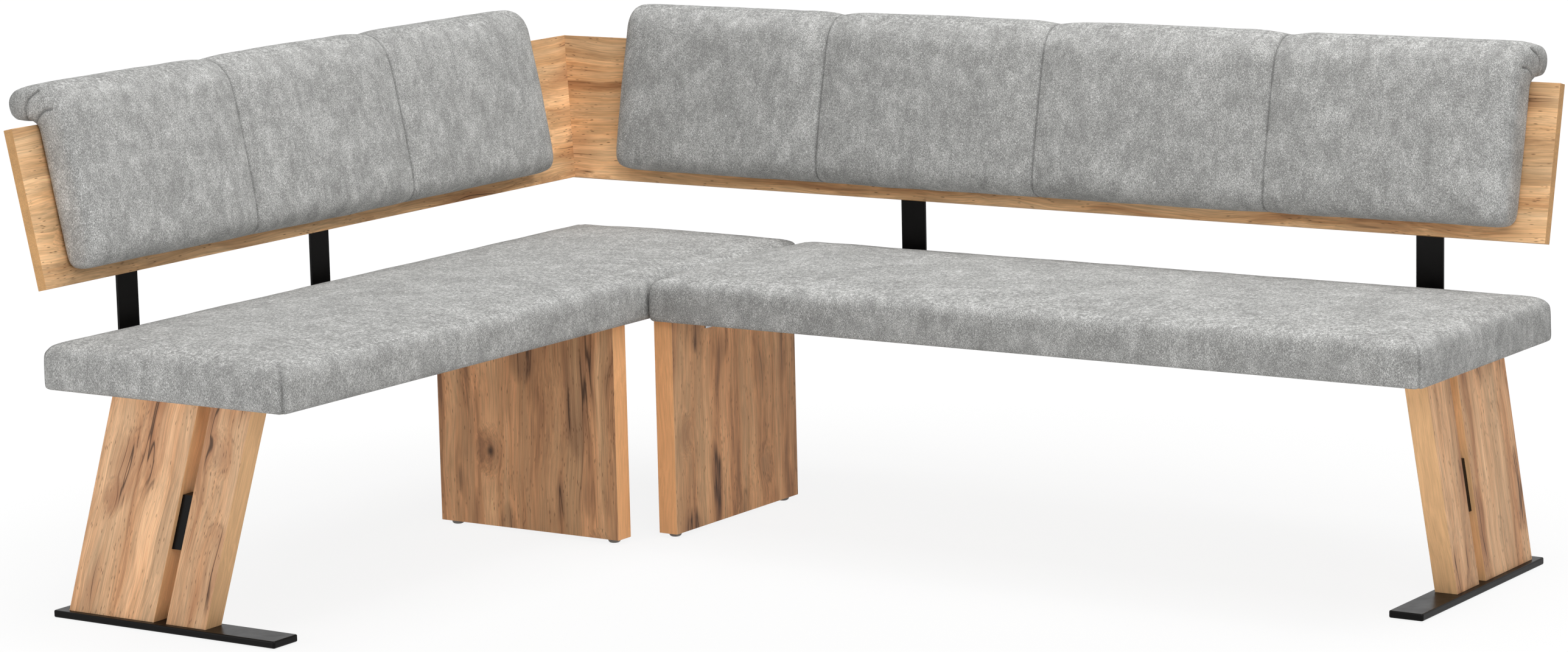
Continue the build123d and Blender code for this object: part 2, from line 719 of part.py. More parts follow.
def joining_plate_spots():
    """Screws from the joining plate up into both seat panels."""
    along = JOINING_PLATE_LENGTH / 2 - ANGLE_SCREW_MARGIN
    front, back = joining_plate_depths()
    depths = (front + ANGLE_SCREW_MARGIN, back - ANGLE_SCREW_MARGIN)
    height = SEAT_UNDERSIDE - ANGLE_THICKNESS
    return [facing((side * along, depth, height), (0, 0, -1)) for side in (-1, 1) for depth in depths]


def corner_plate_end():
    """Place along the wing where the corner plate ends."""
    mid_height = CORNER_PLATE_FOOT + CORNER_PLATE_HEIGHT / 2
    return CORNER_PLATE_REACH - on_back(0, mid_height, -BACK_THICKNESS).Y


def corner_plate_half():
    """The corner plate's leaf on the right wing, behind the mitred boards."""
    leaf = back_slab(
        -BACK_REACH - BACK_THICKNESS,
        corner_plate_end(),
        CORNER_PLATE_FOOT,
        CORNER_PLATE_FOOT + CORNER_PLATE_HEIGHT,
        -BACK_THICKNESS - CORNER_PLATE_THICKNESS,
        -BACK_THICKNESS,
    )
    return split(leaf, bisect_by=MITRE, keep=Keep.TOP)


def corner_plate_spots():
    """Screws from the corner plate's right leaf into the back board."""
    along = corner_plate_end() - ANGLE_SCREW_MARGIN
    off = -BACK_THICKNESS - CORNER_PLATE_THICKNESS
    heights = (
        CORNER_PLATE_FOOT + ANGLE_SCREW_MARGIN,
        CORNER_PLATE_FOOT + CORNER_PLATE_HEIGHT - ANGLE_SCREW_MARGIN,
    )
    rear = -BACK_FACE.z_dir
    return [facing(on_back(along, height, off), rear) for height in heights]


def mirrored(shape):
    """Right-wing shape turned into its left-wing twin."""
    return mirror(shape, about=MITRE)


# Assembly


def wing_pieces(wing):
    """Every piece of one wing in the wing frame, by its name."""
    panel_hole = screw_hole(PANEL_SCREW_LENGTH)
    board_hole = screw_hole(BOARD_SCREW_LENGTH)
    cushion_hole = screw_hole(BACK_THICKNESS + CUSHION_SCREW_BITE)
    runner_hole = sunk_screw(RUNNER_THICKNESS + RUNNER_SCREW_BITE, SCREW_CLEARANCE)
    dowel_hole = spacer_dowel(SCREW_CLEARANCE)

    inner_set = inner_leg_angles(wing)
    end_set = end_leg_angles(wing)
    joining_set = joining_angles()
    runner_spots = runner_screw_spots(wing)
    dowel_spots = spacer_dowel_spots(wing)
    centres = bracket_centres(wing)
    foot_spots = [spot for centre in centres for spot in bracket_panel_spots(centre)]
    grip_spots = [spot for centre in centres for spot in bracket_board_spots(centre)]
    cushion_spots = cushion_screw_spots(wing)

    panel_spots = inner_set.panel_spots + end_set.panel_spots + foot_spots
    leg_spots = list(inner_set.leg_spots)
    plate_spots = joining_plate_spots()
    if wing is RIGHT:
        panel_spots += plate_spots
        leg_spots += joining_set.leg_spots
    else:
        panel_spots += [mirrored_spot(spot) for spot in plate_spots + joining_set.panel_spots]

    boards = {
        "end_leg_narrow_board": leg_board(wing, END_LEG_FOOT_DEPTH, NARROW_BOARD_WIDTH),
        "end_leg_wide_board": leg_board(wing, WIDE_BOARD_FOOT, WIDE_BOARD_WIDTH),
    }
    for name, board in boards.items():
        board = cut_at(board, end_set.leg_spots, board_hole)
        board = cut_at(board, runner_spots, runner_hole)
        boards[name] = cut_at(board, dowel_spots, dowel_hole)

    back = cut_at(back_board(wing), grip_spots + corner_plate_spots(), panel_hole)
    brackets = [
        cut_at(
            cut_at(bracket(centre), bracket_panel_spots(centre), panel_hole),
            bracket_board_spots(centre),
            panel_hole,
        )
        for centre in centres
    ]
    sunk = sunk_screw(RUNNER_THICKNESS + RUNNER_SCREW_BITE)
    pan = pan_screw(PANEL_SCREW_LENGTH)
    cushion_pan = pan_screw(BACK_THICKNESS + CUSHION_SCREW_BITE)
    return {
        "seat_panel": cut_at(seat_panel(wing), panel_spots, panel_hole),
        "seat_cushion": seat_cushion(wing),
        "inner_leg": cut_at(inner_leg(wing), leg_spots, board_hole),
        "inner_leg_glides": group(spot * glide() for spot in glide_spots(wing)),
        "inner_leg_angles": group(inner_set.angles()),
        "inner_leg_angle_screws": group(inner_set.screws()),
        **boards,
        "end_leg_spacer": cut_at(spacer(wing), dowel_spots, dowel_hole),
        "end_leg_spacer_dowels": group(spot * spacer_dowel() for spot in dowel_spots),
        "end_leg_runner": cut_at(runner(wing), runner_spots, runner_hole),
        "end_leg_runner_screws": group(spot * sunk for spot in runner_spots),
        "end_leg_runner_pads": group(runner_pads(wing)),
        "end_leg_angles": group(end_set.angles()),
        "end_leg_angle_screws": group(end_set.screws()),
        "inner_back_bracket": brackets[0],
        "outer_back_bracket": brackets[1],
        "back_bracket_screws": group(spot * pan for spot in foot_spots + grip_spots),
        "back_board": cut_at(back, cushion_spots, cushion_hole),
        "back_cushion_core": cut_at(cushion_core(wing), cushion_spots, cushion_hole),
        "back_cushion": back_cushion(wing),
        "back_cushion_screws": group(spot * cushion_pan for spot in cushion_spots),
    }


def mirrored_spot(spot):
    """Screw place of the right wing frame, seen from the left wing frame."""
    point, heading = spot.position, Plane(spot).z_dir
    return facing((-point.Y, -point.X, point.Z), (-heading.Y, -heading.X, heading.Z))


def corner_pieces():
    """Pieces that both wings share."""
    pan = pan_screw(PANEL_SCREW_LENGTH)
    hole = screw_hole(PANEL_SCREW_LENGTH)
    joining_set = joining_angles()
    plate_spots = joining_plate_spots()
    leaf_spots = corner_plate_spots()
    leaf = cut_at(corner_plate_half(), leaf_spots, hole)
    leaf_screws = [spot * pan for spot in leaf_spots]
    return {
        "seat_joining_angles": group(joining_set.angles()),
        "seat_joining_plate": cut_at(joining_plate(), plate_spots, hole),
        "seat_joining_screws": group(joining_set.screws() + [spot * pan for spot in plate_spots]),
        "back_corner_plate": leaf + mirrored(leaf),
        "back_corner_screws": group(leaf_screws + [mirrored(screw) for screw in leaf_screws]),
    }


def bench():
    """All pieces by node name, with the origin on the floor under the middle of the outline."""
    nodes = {}
    for name, shape in wing_pieces(LEFT).items():
        nodes[f"left_{name}"] = mirrored(shape)
    for name, shape in wing_pieces(RIGHT).items():
        nodes[f"right_{name}"] = shape
    nodes.update(corner_pieces())
    middle_x = (RIGHT_SEAT_LENGTH - BACK_REACH) / 2
    middle_y = (BACK_REACH - LEFT_SEAT_LENGTH) / 2
    return {name: Pos(-middle_x, -middle_y, 0) * shape for name, shape in nodes.items()}


os.makedirs("parts", exist_ok=True)
for node_name, node_shape in bench().items():
    export_step(node_shape, f"parts/{node_name}.step")
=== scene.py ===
"""Looks of a corner bench: grey chenille cushions, oak-decor boards and black steel.

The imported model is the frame. The four cushions are padded pieces that replace their solids, and
every other node keeps its shape and gets a finish.
"""

import logging
import math
from collections.abc import Mapping, Sequence
from dataclasses import dataclass, field
from enum import Enum

import bmesh
import bpy
import numpy as np
from mathutils import Matrix, Vector, noise


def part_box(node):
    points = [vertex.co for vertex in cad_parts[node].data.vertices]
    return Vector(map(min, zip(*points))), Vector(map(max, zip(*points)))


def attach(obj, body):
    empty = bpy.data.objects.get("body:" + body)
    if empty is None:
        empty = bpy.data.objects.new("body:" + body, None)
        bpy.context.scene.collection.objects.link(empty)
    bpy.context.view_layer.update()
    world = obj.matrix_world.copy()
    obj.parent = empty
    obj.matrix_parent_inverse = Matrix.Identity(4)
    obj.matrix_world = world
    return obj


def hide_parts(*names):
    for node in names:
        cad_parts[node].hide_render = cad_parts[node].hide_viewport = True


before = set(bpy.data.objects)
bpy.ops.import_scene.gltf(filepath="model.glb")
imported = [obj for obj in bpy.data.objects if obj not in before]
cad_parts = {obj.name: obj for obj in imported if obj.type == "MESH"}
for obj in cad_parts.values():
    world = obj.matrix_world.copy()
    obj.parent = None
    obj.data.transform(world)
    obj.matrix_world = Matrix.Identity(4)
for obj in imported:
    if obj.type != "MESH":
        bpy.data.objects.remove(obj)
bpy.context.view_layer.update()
log = logging.getLogger("bench")

MM = 0.001

# Where the wing frame's origin, the inner corner of the two seats, lies in the part
CORNER = Vector((-0.41630123, 0.16735123, 0.0))
# The back board's front face: depth behind the seat's front edge, foot above the floor, lean
BACK_SETBACK = 518.5 * MM
BACK_FOOT = 542.7 * MM
BACK_TILT = math.radians(12.75)


class Side(Enum):
    """The two wings of the bench."""

    LEFT = "left"
    RIGHT = "right"

    def place(self) -> Matrix:
        """Find where the wing lies.

        Returns:
            Matrix from the wing frame, X along the wing and Y backwards, to the part.
        """
        turn = Matrix.Identity(4)
        if self is Side.LEFT:
            turn = Matrix(((0, -1, 0, 0), (-1, 0, 0, 0), (0, 0, 1, 0), (0, 0, 0, 1)))
        return Matrix.Translation(CORNER) @ turn

    def back_face(self) -> Matrix:
        """Find where the front face of the wing's back board lies.

        Returns:
            Matrix from that face, X along the wing, Y up the slope and Z outwards, to the part.
        """
        rise, run = math.cos(BACK_TILT), math.sin(BACK_TILT)
        foot = ((0, run, -rise, BACK_SETBACK), (0, rise, run, BACK_FOOT))
        return self.place() @ Matrix(((1, 0, 0, 0), *foot, (0, 0, 0, 1)))


def linear(code: str) -> tuple[float, float, float, float]:
    """Turn an sRGB hex colour into linear RGBA.

    Args:
        code: Colour such as "#9d9d9b".

    Returns:
        Linear red, green and blue with full alpha.
    """
    parts = [int(code[i : i + 2], 16) / 255 for i in (1, 3, 5)]
    red, green, blue = [
        part / 12.92 if part <= 0.04045 else ((part + 0.055) / 1.055) ** 2.4 for part in parts
    ]
    return red, green, blue, 1.0


def add_node(
    tree: bpy.types.NodeTree,
    kind: str,
    inputs: Mapping[str | int, object] | Sequence[object] = (),
    **settings: object,
) -> bpy.types.Node:
    """Add one shader node with its settings and links.

    Args:
        tree: Node tree to add to.
        kind: Node type without its ShaderNode prefix.
        inputs: Value, source socket or source node for each input, by name or number, or in order.
            A node stands for its first output.
        settings: Attributes to set on the node.

    Returns:
        The new node.
    """
    node = tree.nodes.new("ShaderNode" + kind)
    for name, value in settings.items():
        setattr(node, name, value)
    for key, value in inputs.items() if isinstance(inputs, Mapping) else enumerate(inputs):
        if isinstance(value, bpy.types.Node):
            value = value.outputs[0]
        if isinstance(value, bpy.types.NodeSocket):
            tree.links.new(value, node.inputs[key])
        else:
            node.inputs[key].default_value = value
    return node


def new_material(name: str) -> tuple[bpy.types.Material, bpy.types.NodeTree, bpy.types.Node]:
    """Start a material with one principled shader.

    Args:
        name: Name for the real material.

    Returns:
        The material, its node tree and its principled shader.
    """
    material = bpy.data.materials.new(name)
    material.use_nodes = True
    tree = material.node_tree
    tree.nodes.clear()
    shader = add_node(tree, "BsdfPrincipled")
    add_node(tree, "OutputMaterial", {"Surface": shader})
    return material, tree, shader


@dataclass(frozen=True)
class Chenille:
    """Woven chenille: short cut pile that lies in soft patches, so it is matt and mottled."""

    name: str = "grey_chenille"
    shade: str = "#888886"
    bright: str = "#dbdbd9"
    # Dark grey of the painted shade that the cover gets in its seams and folds
    seam: str = "#4a4a49"
    # Each layer's size in millimetres, contrast, scale upwards against sideways, and detail: nap
    # that lies over on the tops, clouds, brushed patches, pile and tufts. Tufts are about 0.6 mm
    # across and are drawn coarser, so that they show in the render
    layers: Sequence[tuple[str, float, float, float, float]] = (
        ("nap", 5.0, 1.5, 1.0, 1.0),
        ("cloud", 55.0, 0.7, 1.0, 3.0),
        ("patch", 16.0, 0.8, 0.55, 4.0),
        ("pile", 2.6, 0.6, 0.9, 1.0),
        ("tuft", 1.15, 2.1, 0.5, 1.0),
    )
    # Upward part of the normal at which the nap begins to lie over, and at which all of it does
    nap_from: float = 0.6
    nap_full: float = 0.95
    # Most of the pile is dull, and only the brushed-up tufts catch the light
    dullness: float = 1.8
    relief_mm: float = 0.8
    rough: float = 0.93
    gloss: float = 0.12
    sheen: float = 0.06
    sheen_rough: float = 0.45

    def make(self) -> bpy.types.Material:
        """Build the material.

        Returns:
            The finished material.
        """
        material, tree, shader = new_material(self.name)
        source = add_node(tree, "TexCoord")
        up = add_node(tree, "SeparateXYZ", (source.outputs["Normal"],))
        lying = (up.outputs[2], self.nap_from, self.nap_full, 0.0, 1.0)
        lying = add_node(tree, "MapRange", lying)
        drawn = {}
        share: bpy.types.Node | float = 0.5
        for layer, size_mm, contrast, upwards, detail in self.layers:
            if layer == "nap":
                contrast = add_node(tree, "Math", (lying, contrast), operation="MULTIPLY")
            step = 1 / (size_mm * MM)
            scale = (step, step, step * upwards)
            lie = add_node(tree, "Mapping", {"Vector": source.outputs["Object"], "Scale": scale})
            inputs = {"Scale": 1.0, "Detail": detail, "Roughness": 0.62, "Distortion": 0.25}
            drawn[layer] = add_node(tree, "TexNoise", {"Vector": lie, **inputs})
            middle = add_node(tree, "Math", (drawn[layer], 0.5), operation="SUBTRACT")
            share = add_node(tree, "Math", (middle, contrast, share), operation="MULTIPLY_ADD")
        share = add_node(tree, "MapRange", (share, 0.0, 1.0, 0.0, 1.0))
        share = add_node(tree, "Math", (share, self.dullness), operation="POWER")
        # Share of painted shade in the seams and folds, which the cushions keep on their mesh as
        # the seam attribute
        sewn = add_node(tree, "Attribute", attribute_name="seam", attribute_type="GEOMETRY")
        colour = linear(self.shade)
        # Mottle between the two tones, then painted shade towards the seam colour
        for amount, tone in ((share, self.bright), (sewn.outputs["Fac"], self.seam)):
            ends = {0: amount, 6: colour, 7: linear(tone)}
            colour = add_node(tree, "Mix", ends, data_type="RGBA").outputs[2]
        raised = (drawn["patch"], 0.5, drawn["tuft"])
        raised = add_node(tree, "Math", raised, operation="MULTIPLY_ADD")
        relief = {"Strength": 0.5, "Distance": self.relief_mm * MM, "Height": raised}
        bump = add_node(tree, "Bump", relief)
        tree.links.new(colour, shader.inputs["Base Color"])
        tree.links.new(bump.outputs[0], shader.inputs["Normal"])
        shader.inputs["Roughness"].default_value = self.rough
        shader.inputs["Specular IOR Level"].default_value = self.gloss
        shader.inputs["Sheen Weight"].default_value = self.sheen
        shader.inputs["Sheen Roughness"].default_value = self.sheen_rough
        return material


@dataclass(frozen=True)
class Tint:
    """Colours of one kind of board: the face from light to dark, and the plain edging."""

    pale: str
    honey: str
    brown: str
    edging: str


@dataclass(frozen=True)
class OakDecor:
    """Rustic oak decor: staves, tone bands, fine long grain, pores, cracks and knots, satin."""

    name: str
    tint: Tint
    grain: tuple[float, float, float]
    across: tuple[float, float, float]
    shift: tuple[float, float, float]
    pore: str = "#5d3820"
    crack: str = "#35200f"
    # Widths across the grain. Vessel lines and pores are about 0.3 mm wide and are drawn coarser,
    # so that they show in the render
    stave_mm: float = 46.0
    band_mm: float = 30.0
    ring_mm: float = 17.6
    line_mm: float = 2.4
    pore_mm: float = 2.6
    knot_mm: float = 105.0
    crack_mm: float = 60.0
    # How far the grain sways, and how far a knot pushes it aside
    sway_mm: float = 60.0
    push_mm: float = 18.0
    # A face looks along the board's thickness by at least this much
    face_from: float = 0.7
    # Cells above this number have a knot, with a core and a halo of these radii
    knot_from: float = 0.52
    core: float = 0.075
    halo: float = 0.30
    relief_mm: float = 0.4
    gloss: float = 0.35
    rough: tuple[float, float] = (0.48, 0.64)

    def patterns(
        self,
        tree: bpy.types.NodeTree,
        kind: str,
        place: bpy.types.Node,
        wanted: Mapping[str, tuple[float, float, float]],
    ) -> dict[str, bpy.types.Node]:
        """Add patterns that lie along the grain.

        Args:
            tree: Node tree to add to.
            kind: Texture node type without its ShaderNode prefix.
            place: Coordinates along the grain, across it and out of the face.
            wanted: For each pattern its width in millimetres, how many times longer it is along
                the grain, and its detail.

        Returns:
            The pattern nodes by name.
        """
        made = {}
        for name, (width_mm, stretch, detail) in wanted.items():
            step = 1 / (width_mm * MM)
            scale = (step / stretch, step, step)
            drawn = add_node(tree, "Mapping", {"Vector": place, "Scale": scale})
            inputs = {"Scale": 1.0, "Detail": detail, "Roughness": 0.6}
            made[name] = add_node(tree, kind, {"Vector": drawn, **inputs})
        return made

    def make(self) -> bpy.types.Material:
        """Build the material.

        Returns:
            The finished material.
        """
        material, tree, shader = new_material(self.name)
        along, over = Vector(self.grain).normalized(), Vector(self.across).normalized()
        out = along.cross(over)
        turn = Matrix((along, over, out)).to_euler()
        source = add_node(tree, "TexCoord")
        lie = {"Rotation": tuple(turn), "Location": self.shift}
        place = add_node(tree, "Mapping", {"Vector": source.outputs["Object"], **lie})
        # 1 on the two wide faces, 0 on the edging
        facing = add_node(
            tree, "VectorMath", (source.outputs["Normal"], tuple(out)), operation="DOT_PRODUCT"
        )
        facing = add_node(tree, "Math", (facing.outputs["Value"],), operation="ABSOLUTE")
        face = add_node(tree, "Math", (facing, self.face_from), operation="GREATER_THAN")

        # Slow sway of the trunk, so that no grain line is dead straight
        wanted = {"sway": (240, 1.8, 2.0), "flock": (38, 3.0, 2.0), "dry": (80, 2.6, 1.0)}
        slow = self.patterns(tree, "TexNoise", place, wanted)
        middle = (slow["sway"].outputs["Color"], (0.5, 0.5, 0.5))
        sway = add_node(tree, "VectorMath", middle, operation="SUBTRACT")
        reach = (0.0, self.sway_mm * MM, self.sway_mm * MM)
        sway = add_node(tree, "VectorMath", (sway, reach), operation="MULTIPLY")
        bent = add_node(tree, "VectorMath", (place, sway), operation="ADD")

        # Knots, of which only some cells have one, and the grain that runs round them
        wanted = {"knot": (self.knot_mm, 1.7, 0.0), "pore": (self.pore_mm, 6, 0.0)}
        knot, pore = self.patterns(tree, "TexVoronoi", bent, wanted).values()
        pick = add_node(tree, "SeparateXYZ", (knot.outputs["Color"],))
        chosen = (pick.outputs[0], self.knot_from)
        chosen = add_node(tree, "Math", chosen, operation="GREATER_THAN")
        chosen = add_node(tree, "Math", (chosen, face), operation="MULTIPLY")
        core, halo = (
            add_node(tree, "MapRange", (knot.outputs["Distance"], radius, 0.02, 0.0, chosen))
            for radius in (self.core, self.halo)
        )
        push = add_node(tree, "CombineXYZ", (0.0, halo, halo))
        reach = (0.0, self.push_mm * MM, self.push_mm * MM)
        push = add_node(tree, "VectorMath", (push, reach), operation="MULTIPLY")
        figure = add_node(tree, "VectorMath", (bent, push), operation="ADD")

        # Broad tone bands, fine vessel lines, faint annual rings, cracks, one tone for each stave
        wanted = {
            "bands": (self.band_mm, 18, 5.0),
            "lines": (self.line_mm, 45, 3.0),
            "rings": (self.ring_mm, 7, 3.0),
            "crack": (self.crack_mm, 14, 3.0),
        }
        bands, lines, rings, crack = self.patterns(tree, "TexNoise", figure, wanted).values()
        level = add_node(tree, "SeparateXYZ", (figure,))
        row = (level.outputs[1], 1 / (self.stave_mm * MM))
        row = add_node(tree, "Math", row, operation="MULTIPLY")
        stave = {"W": row, "Scale": 1.0}
        stave = add_node(tree, "TexVoronoi", stave, voronoi_dimensions="1D")
        stave = add_node(tree, "SeparateXYZ", (stave.outputs["Color"],))

        # Short pore dashes in loose clusters
        sparse = add_node(tree, "MapRange", (slow["flock"], 0.42, 0.68, 0.98, 0.48))
        pick = add_node(tree, "SeparateXYZ", (pore.outputs["Color"],))
        there = (pick.outputs[1], sparse)
        there = add_node(tree, "Math", there, operation="GREATER_THAN")
        there = add_node(tree, "Math", (there, face), operation="MULTIPLY")
        pores = (pore.outputs["Distance"], 0.34, 0.14, 0.0, there)
        pores = add_node(tree, "MapRange", pores)

        # Long dry cracks in a few places, in a smoky band
        crack = add_node(tree, "Math", (crack, 0.5), operation="SUBTRACT")
        crack = add_node(tree, "Math", (crack,), operation="ABSOLUTE")
        dry = add_node(tree, "MapRange", (slow["dry"], 0.53, 0.62, 0.0, face))
        cracks, smoke = (
            add_node(tree, "MapRange", (crack, far, near, 0.0, dry))
            for far, near in ((0.012, 0.003), (0.12, 0.0))
        )

        share = add_node(tree, "MapRange", (bands, 0.36, 0.62, 0.0, 1.0))
        streak = add_node(tree, "MapRange", (bands, 0.56, 0.72, 0.0, 0.8))
        colour = linear(self.tint.pale)
        for amount, tone in ((share, self.tint.honey), (streak, self.tint.brown)):
            ends = {0: amount, 6: colour, 7: linear(tone)}
            colour = add_node(tree, "Mix", ends, data_type="RGBA").outputs[2]
        ends = {0: face, 6: linear(self.tint.edging), 7: colour}
        colour = add_node(tree, "Mix", ends, data_type="RGBA").outputs[2]
        # Tone at the low and high end of each pattern, on the edging and then on the face
        for pattern, low, high, on_edging, on_face in (
            (stave.outputs[2], 0.0, 1.0, (1.0, 1.12), (0.76, 1.12)),
            (rings, 0.34, 0.66, (1.1, 0.96), (1.1, 0.86)),
            (lines, 0.32, 0.68, (0.9, 1.16), (0.74, 1.16)),
        ):
            tones = [
                add_node(tree, "MapRange", (face, 0.0, 1.0, plain, figured))
                for plain, figured in zip(on_edging, on_face)
            ]
            tone = add_node(tree, "MapRange", (pattern, low, high, *tones))
            ends = {0: 1.0, 6: colour, 7: tone}
            mix = add_node(tree, "Mix", ends, data_type="RGBA", blend_type="MULTIPLY")
            colour = mix.outputs[2]
        # How far each mark darkens the wood, and to which colour
        for mark, most, dark in (
            (smoke, 0.6, self.tint.brown),
            (halo, 0.6, self.tint.brown),
            (pores, 0.75, self.pore),
            (cracks, 0.85, self.crack),
            (core, 0.9, self.crack),
        ):
            part = add_node(tree, "Math", (mark, most), operation="MULTIPLY")
            ends = {0: part, 6: colour, 7: linear(dark)}
            colour = add_node(tree, "Mix", ends, data_type="RGBA").outputs[2]

        sunk = add_node(tree, "Math", (pores, -0.6, lines), operation="MULTIPLY_ADD")
        sunk = add_node(tree, "Math", (cracks, -1.0, sunk), operation="MULTIPLY_ADD")
        relief = {"Strength": 0.22, "Distance": self.relief_mm * MM, "Height": sunk}
        bump = add_node(tree, "Bump", relief)
        rough = add_node(tree, "MapRange", (lines, 0.0, 1.0, *self.rough))
        tree.links.new(colour, shader.inputs["Base Color"])
        tree.links.new(bump.outputs[0], shader.inputs["Normal"])
        tree.links.new(rough.outputs[0], shader.inputs["Roughness"])
        shader.inputs["Specular IOR Level"].default_value = self.gloss
        return material


# Oak decor on the back boards, the leaning end legs and the inner legs. The three tints differ
# partly as painted light: each is set for the light that falls where its boards stand, and the
# inner legs, in shade under the seats, get a darker brown and a paler edging.
BACK_TINT = Tint("#f4ca9a", "#e0ae7b", "#a66f47", "#c39663")
END_TINT = Tint("#f3c69a", "#e1aa7c", "#a26b49", "#e3b584")
INNER_PAINTED_LIGHT_TINT = Tint("#f6c596", "#e8ac7d", "#6f4c39", "#f0b681")


@dataclass(frozen=True)
class Grained:
    """Plain finish whose one colour is broken up by a fine grain, with its own gloss and relief."""

    name: str
    colour: str
    fleck: str
    grit_mm: float
    rough: float
    metallic: float = 0.0
    relief_mm: float = 0.05
    gloss: float = 0.5
    stretch: tuple[float, float, float] = (1.0, 1.0, 1.0)
    # How far the roughness wanders either way, its least value, and its clouds' scale to the grain
    wander: float = 0.08
    least_rough: float = 0.05
    cloud_scale: float = 0.06

    def make(self) -> bpy.types.Material:
        """Build the material.

        Returns:
            The finished material.
        """
        material, tree, shader = new_material(self.name)
        scale = tuple(share / (self.grit_mm * MM) for share in self.stretch)
        source = add_node(tree, "TexCoord").outputs["Object"]
        place = add_node(tree, "Mapping", {"Vector": source, "Scale": scale})
        grit = {"Vector": place, "Scale": 1.0, "Detail": 3.0, "Roughness": 0.65}
        grit = add_node(tree, "TexNoise", grit)
        cloud = {"Vector": place, "Scale": self.cloud_scale, "Detail": 2.0}
        cloud = add_node(tree, "TexNoise", cloud)
        share = add_node(tree, "MapRange", (grit, 0.42, 0.7, 0.0, 1.0))
        ends = {0: share, 6: linear(self.colour), 7: linear(self.fleck)}
        colour = add_node(tree, "Mix", ends, data_type="RGBA")
        smoothest = max(self.rough - self.wander, self.least_rough)
        rough = (cloud, 0.0, 1.0, smoothest, self.rough + self.wander)
        rough = add_node(tree, "MapRange", rough)
        relief = {"Strength": 0.5, "Distance": self.relief_mm * MM, "Height": grit}
        bump = add_node(tree, "Bump", relief)
        tree.links.new(colour.outputs[2], shader.inputs["Base Color"])
        tree.links.new(rough.outputs[0], shader.inputs["Roughness"])
        tree.links.new(bump.outputs[0], shader.inputs["Normal"])
        shader.inputs["Metallic"].default_value = self.metallic
        shader.inputs["Specular IOR Level"].default_value = self.gloss
        return material


# Satin powder coat over steel: near black, with the fine orange-peel that the coat leaves
BLACK_STEEL = Grained(
    "powder_coated_steel", "#050404", "#0c0a09", 1.6, 0.32, relief_mm=0.04, gloss=0.12
)
# Bright zinc plate: pale blue-grey with a faint crystal pattern
ZINC_STEEL = Grained(
    "zinc_plated_steel", "#a9adb2", "#c6c9cc", 2.4, 0.34, metallic=1.0, relief_mm=0.02
)
# Moulded polyethylene glides: matt grey with a fine moulded grain
GREY_PLASTIC = Grained("moulded_polyethylene", "#8b8986", "#9b9996", 1.2, 0.5, relief_mm=0.03)
# Birch plywood face veneer: pale, with faint long figure
PLYWOOD = Grained("birch_plywood", "#d9c39c", "#c3a677", 5.0, 0.62, stretch=(0.06, 1.0, 1.0))


def settle(piece: bpy.types.Object) -> None:
    """Apply every modifier of a piece to its mesh.

    Args:
        piece: Piece whose mesh is replaced by the shaped one.
    """
    graph = bpy.context.evaluated_depsgraph_get()
    shaped = bpy.data.meshes.new_from_object(piece.evaluated_get(graph))
    plain = piece.data
    piece.modifiers.clear()
    piece.data = shaped
    bpy.data.meshes.remove(plain)


def link_piece(shell: bmesh.types.BMesh, name: str) -> bpy.types.Object:
    """Turn an edited mesh into an object of the scene.

    Args:
        shell: Edited mesh, which is freed.
        name: Name of the object and its mesh.

    Returns:
        The new object.
    """
    mesh = bpy.data.meshes.new(name)
    shell.to_mesh(mesh)
    shell.free()
    piece = bpy.data.objects.new(name, mesh)
    bpy.context.scene.collection.objects.link(piece)
    return piece


def points_of(piece: bpy.types.Object) -> np.ndarray:
    """Read the vertex positions of a piece.

    Args:
        piece: Piece to read.

    Returns:
        One row of X, Y and Z for each vertex.
    """
    found = np.empty(len(piece.data.vertices) * 3)
    piece.data.vertices.foreach_get("co", found)
    return found.reshape(-1, 3)


def move_points(piece: bpy.types.Object, points: np.ndarray) -> None:
    """Give a piece's vertices new positions."""
    piece.data.vertices.foreach_set("co", points.ravel())
    piece.data.update()


def normals_of(piece: bpy.types.Object) -> np.ndarray:
    """Read the vertex normals of a piece.

    Args:
        piece: Piece to read.

    Returns:
        One row of X, Y and Z for each vertex.
    """
    found = np.empty(len(piece.data.vertices) * 3)
    piece.data.vertex_normals.foreach_get("vector", found)
    return found.reshape(-1, 3)


def smooth(piece: bpy.types.Object, rounds: int) -> None:
    """Even out a piece's surface.

    Args:
        piece: Piece to change.
        rounds: How often each vertex moves halfway to its neighbours' middle.
    """
    shell = bmesh.new()
    shell.from_mesh(piece.data)
    axes = {"use_axis_x": True, "use_axis_y": True, "use_axis_z": True}
    for _ in range(rounds):
        bmesh.ops.smooth_vert(shell, verts=shell.verts, factor=0.5, **axes)
    shell.to_mesh(piece.data)
    shell.free()


def stretch_to(points: np.ndarray, axis: int, low: float, high: float) -> None:
    """Scale points along one axis so that they span from low to high."""
    start, end = points[:, axis].min(), points[:, axis].max()
    points[:, axis] = low + (points[:, axis] - start) * (high - low) / (end - start)


def ease(value: np.ndarray) -> np.ndarray:
    """Smooth step from 0 to 1 of values that are clipped to that range."""
    share = np.clip(value, 0.0, 1.0)
    return share * share * (3 - 2 * share)


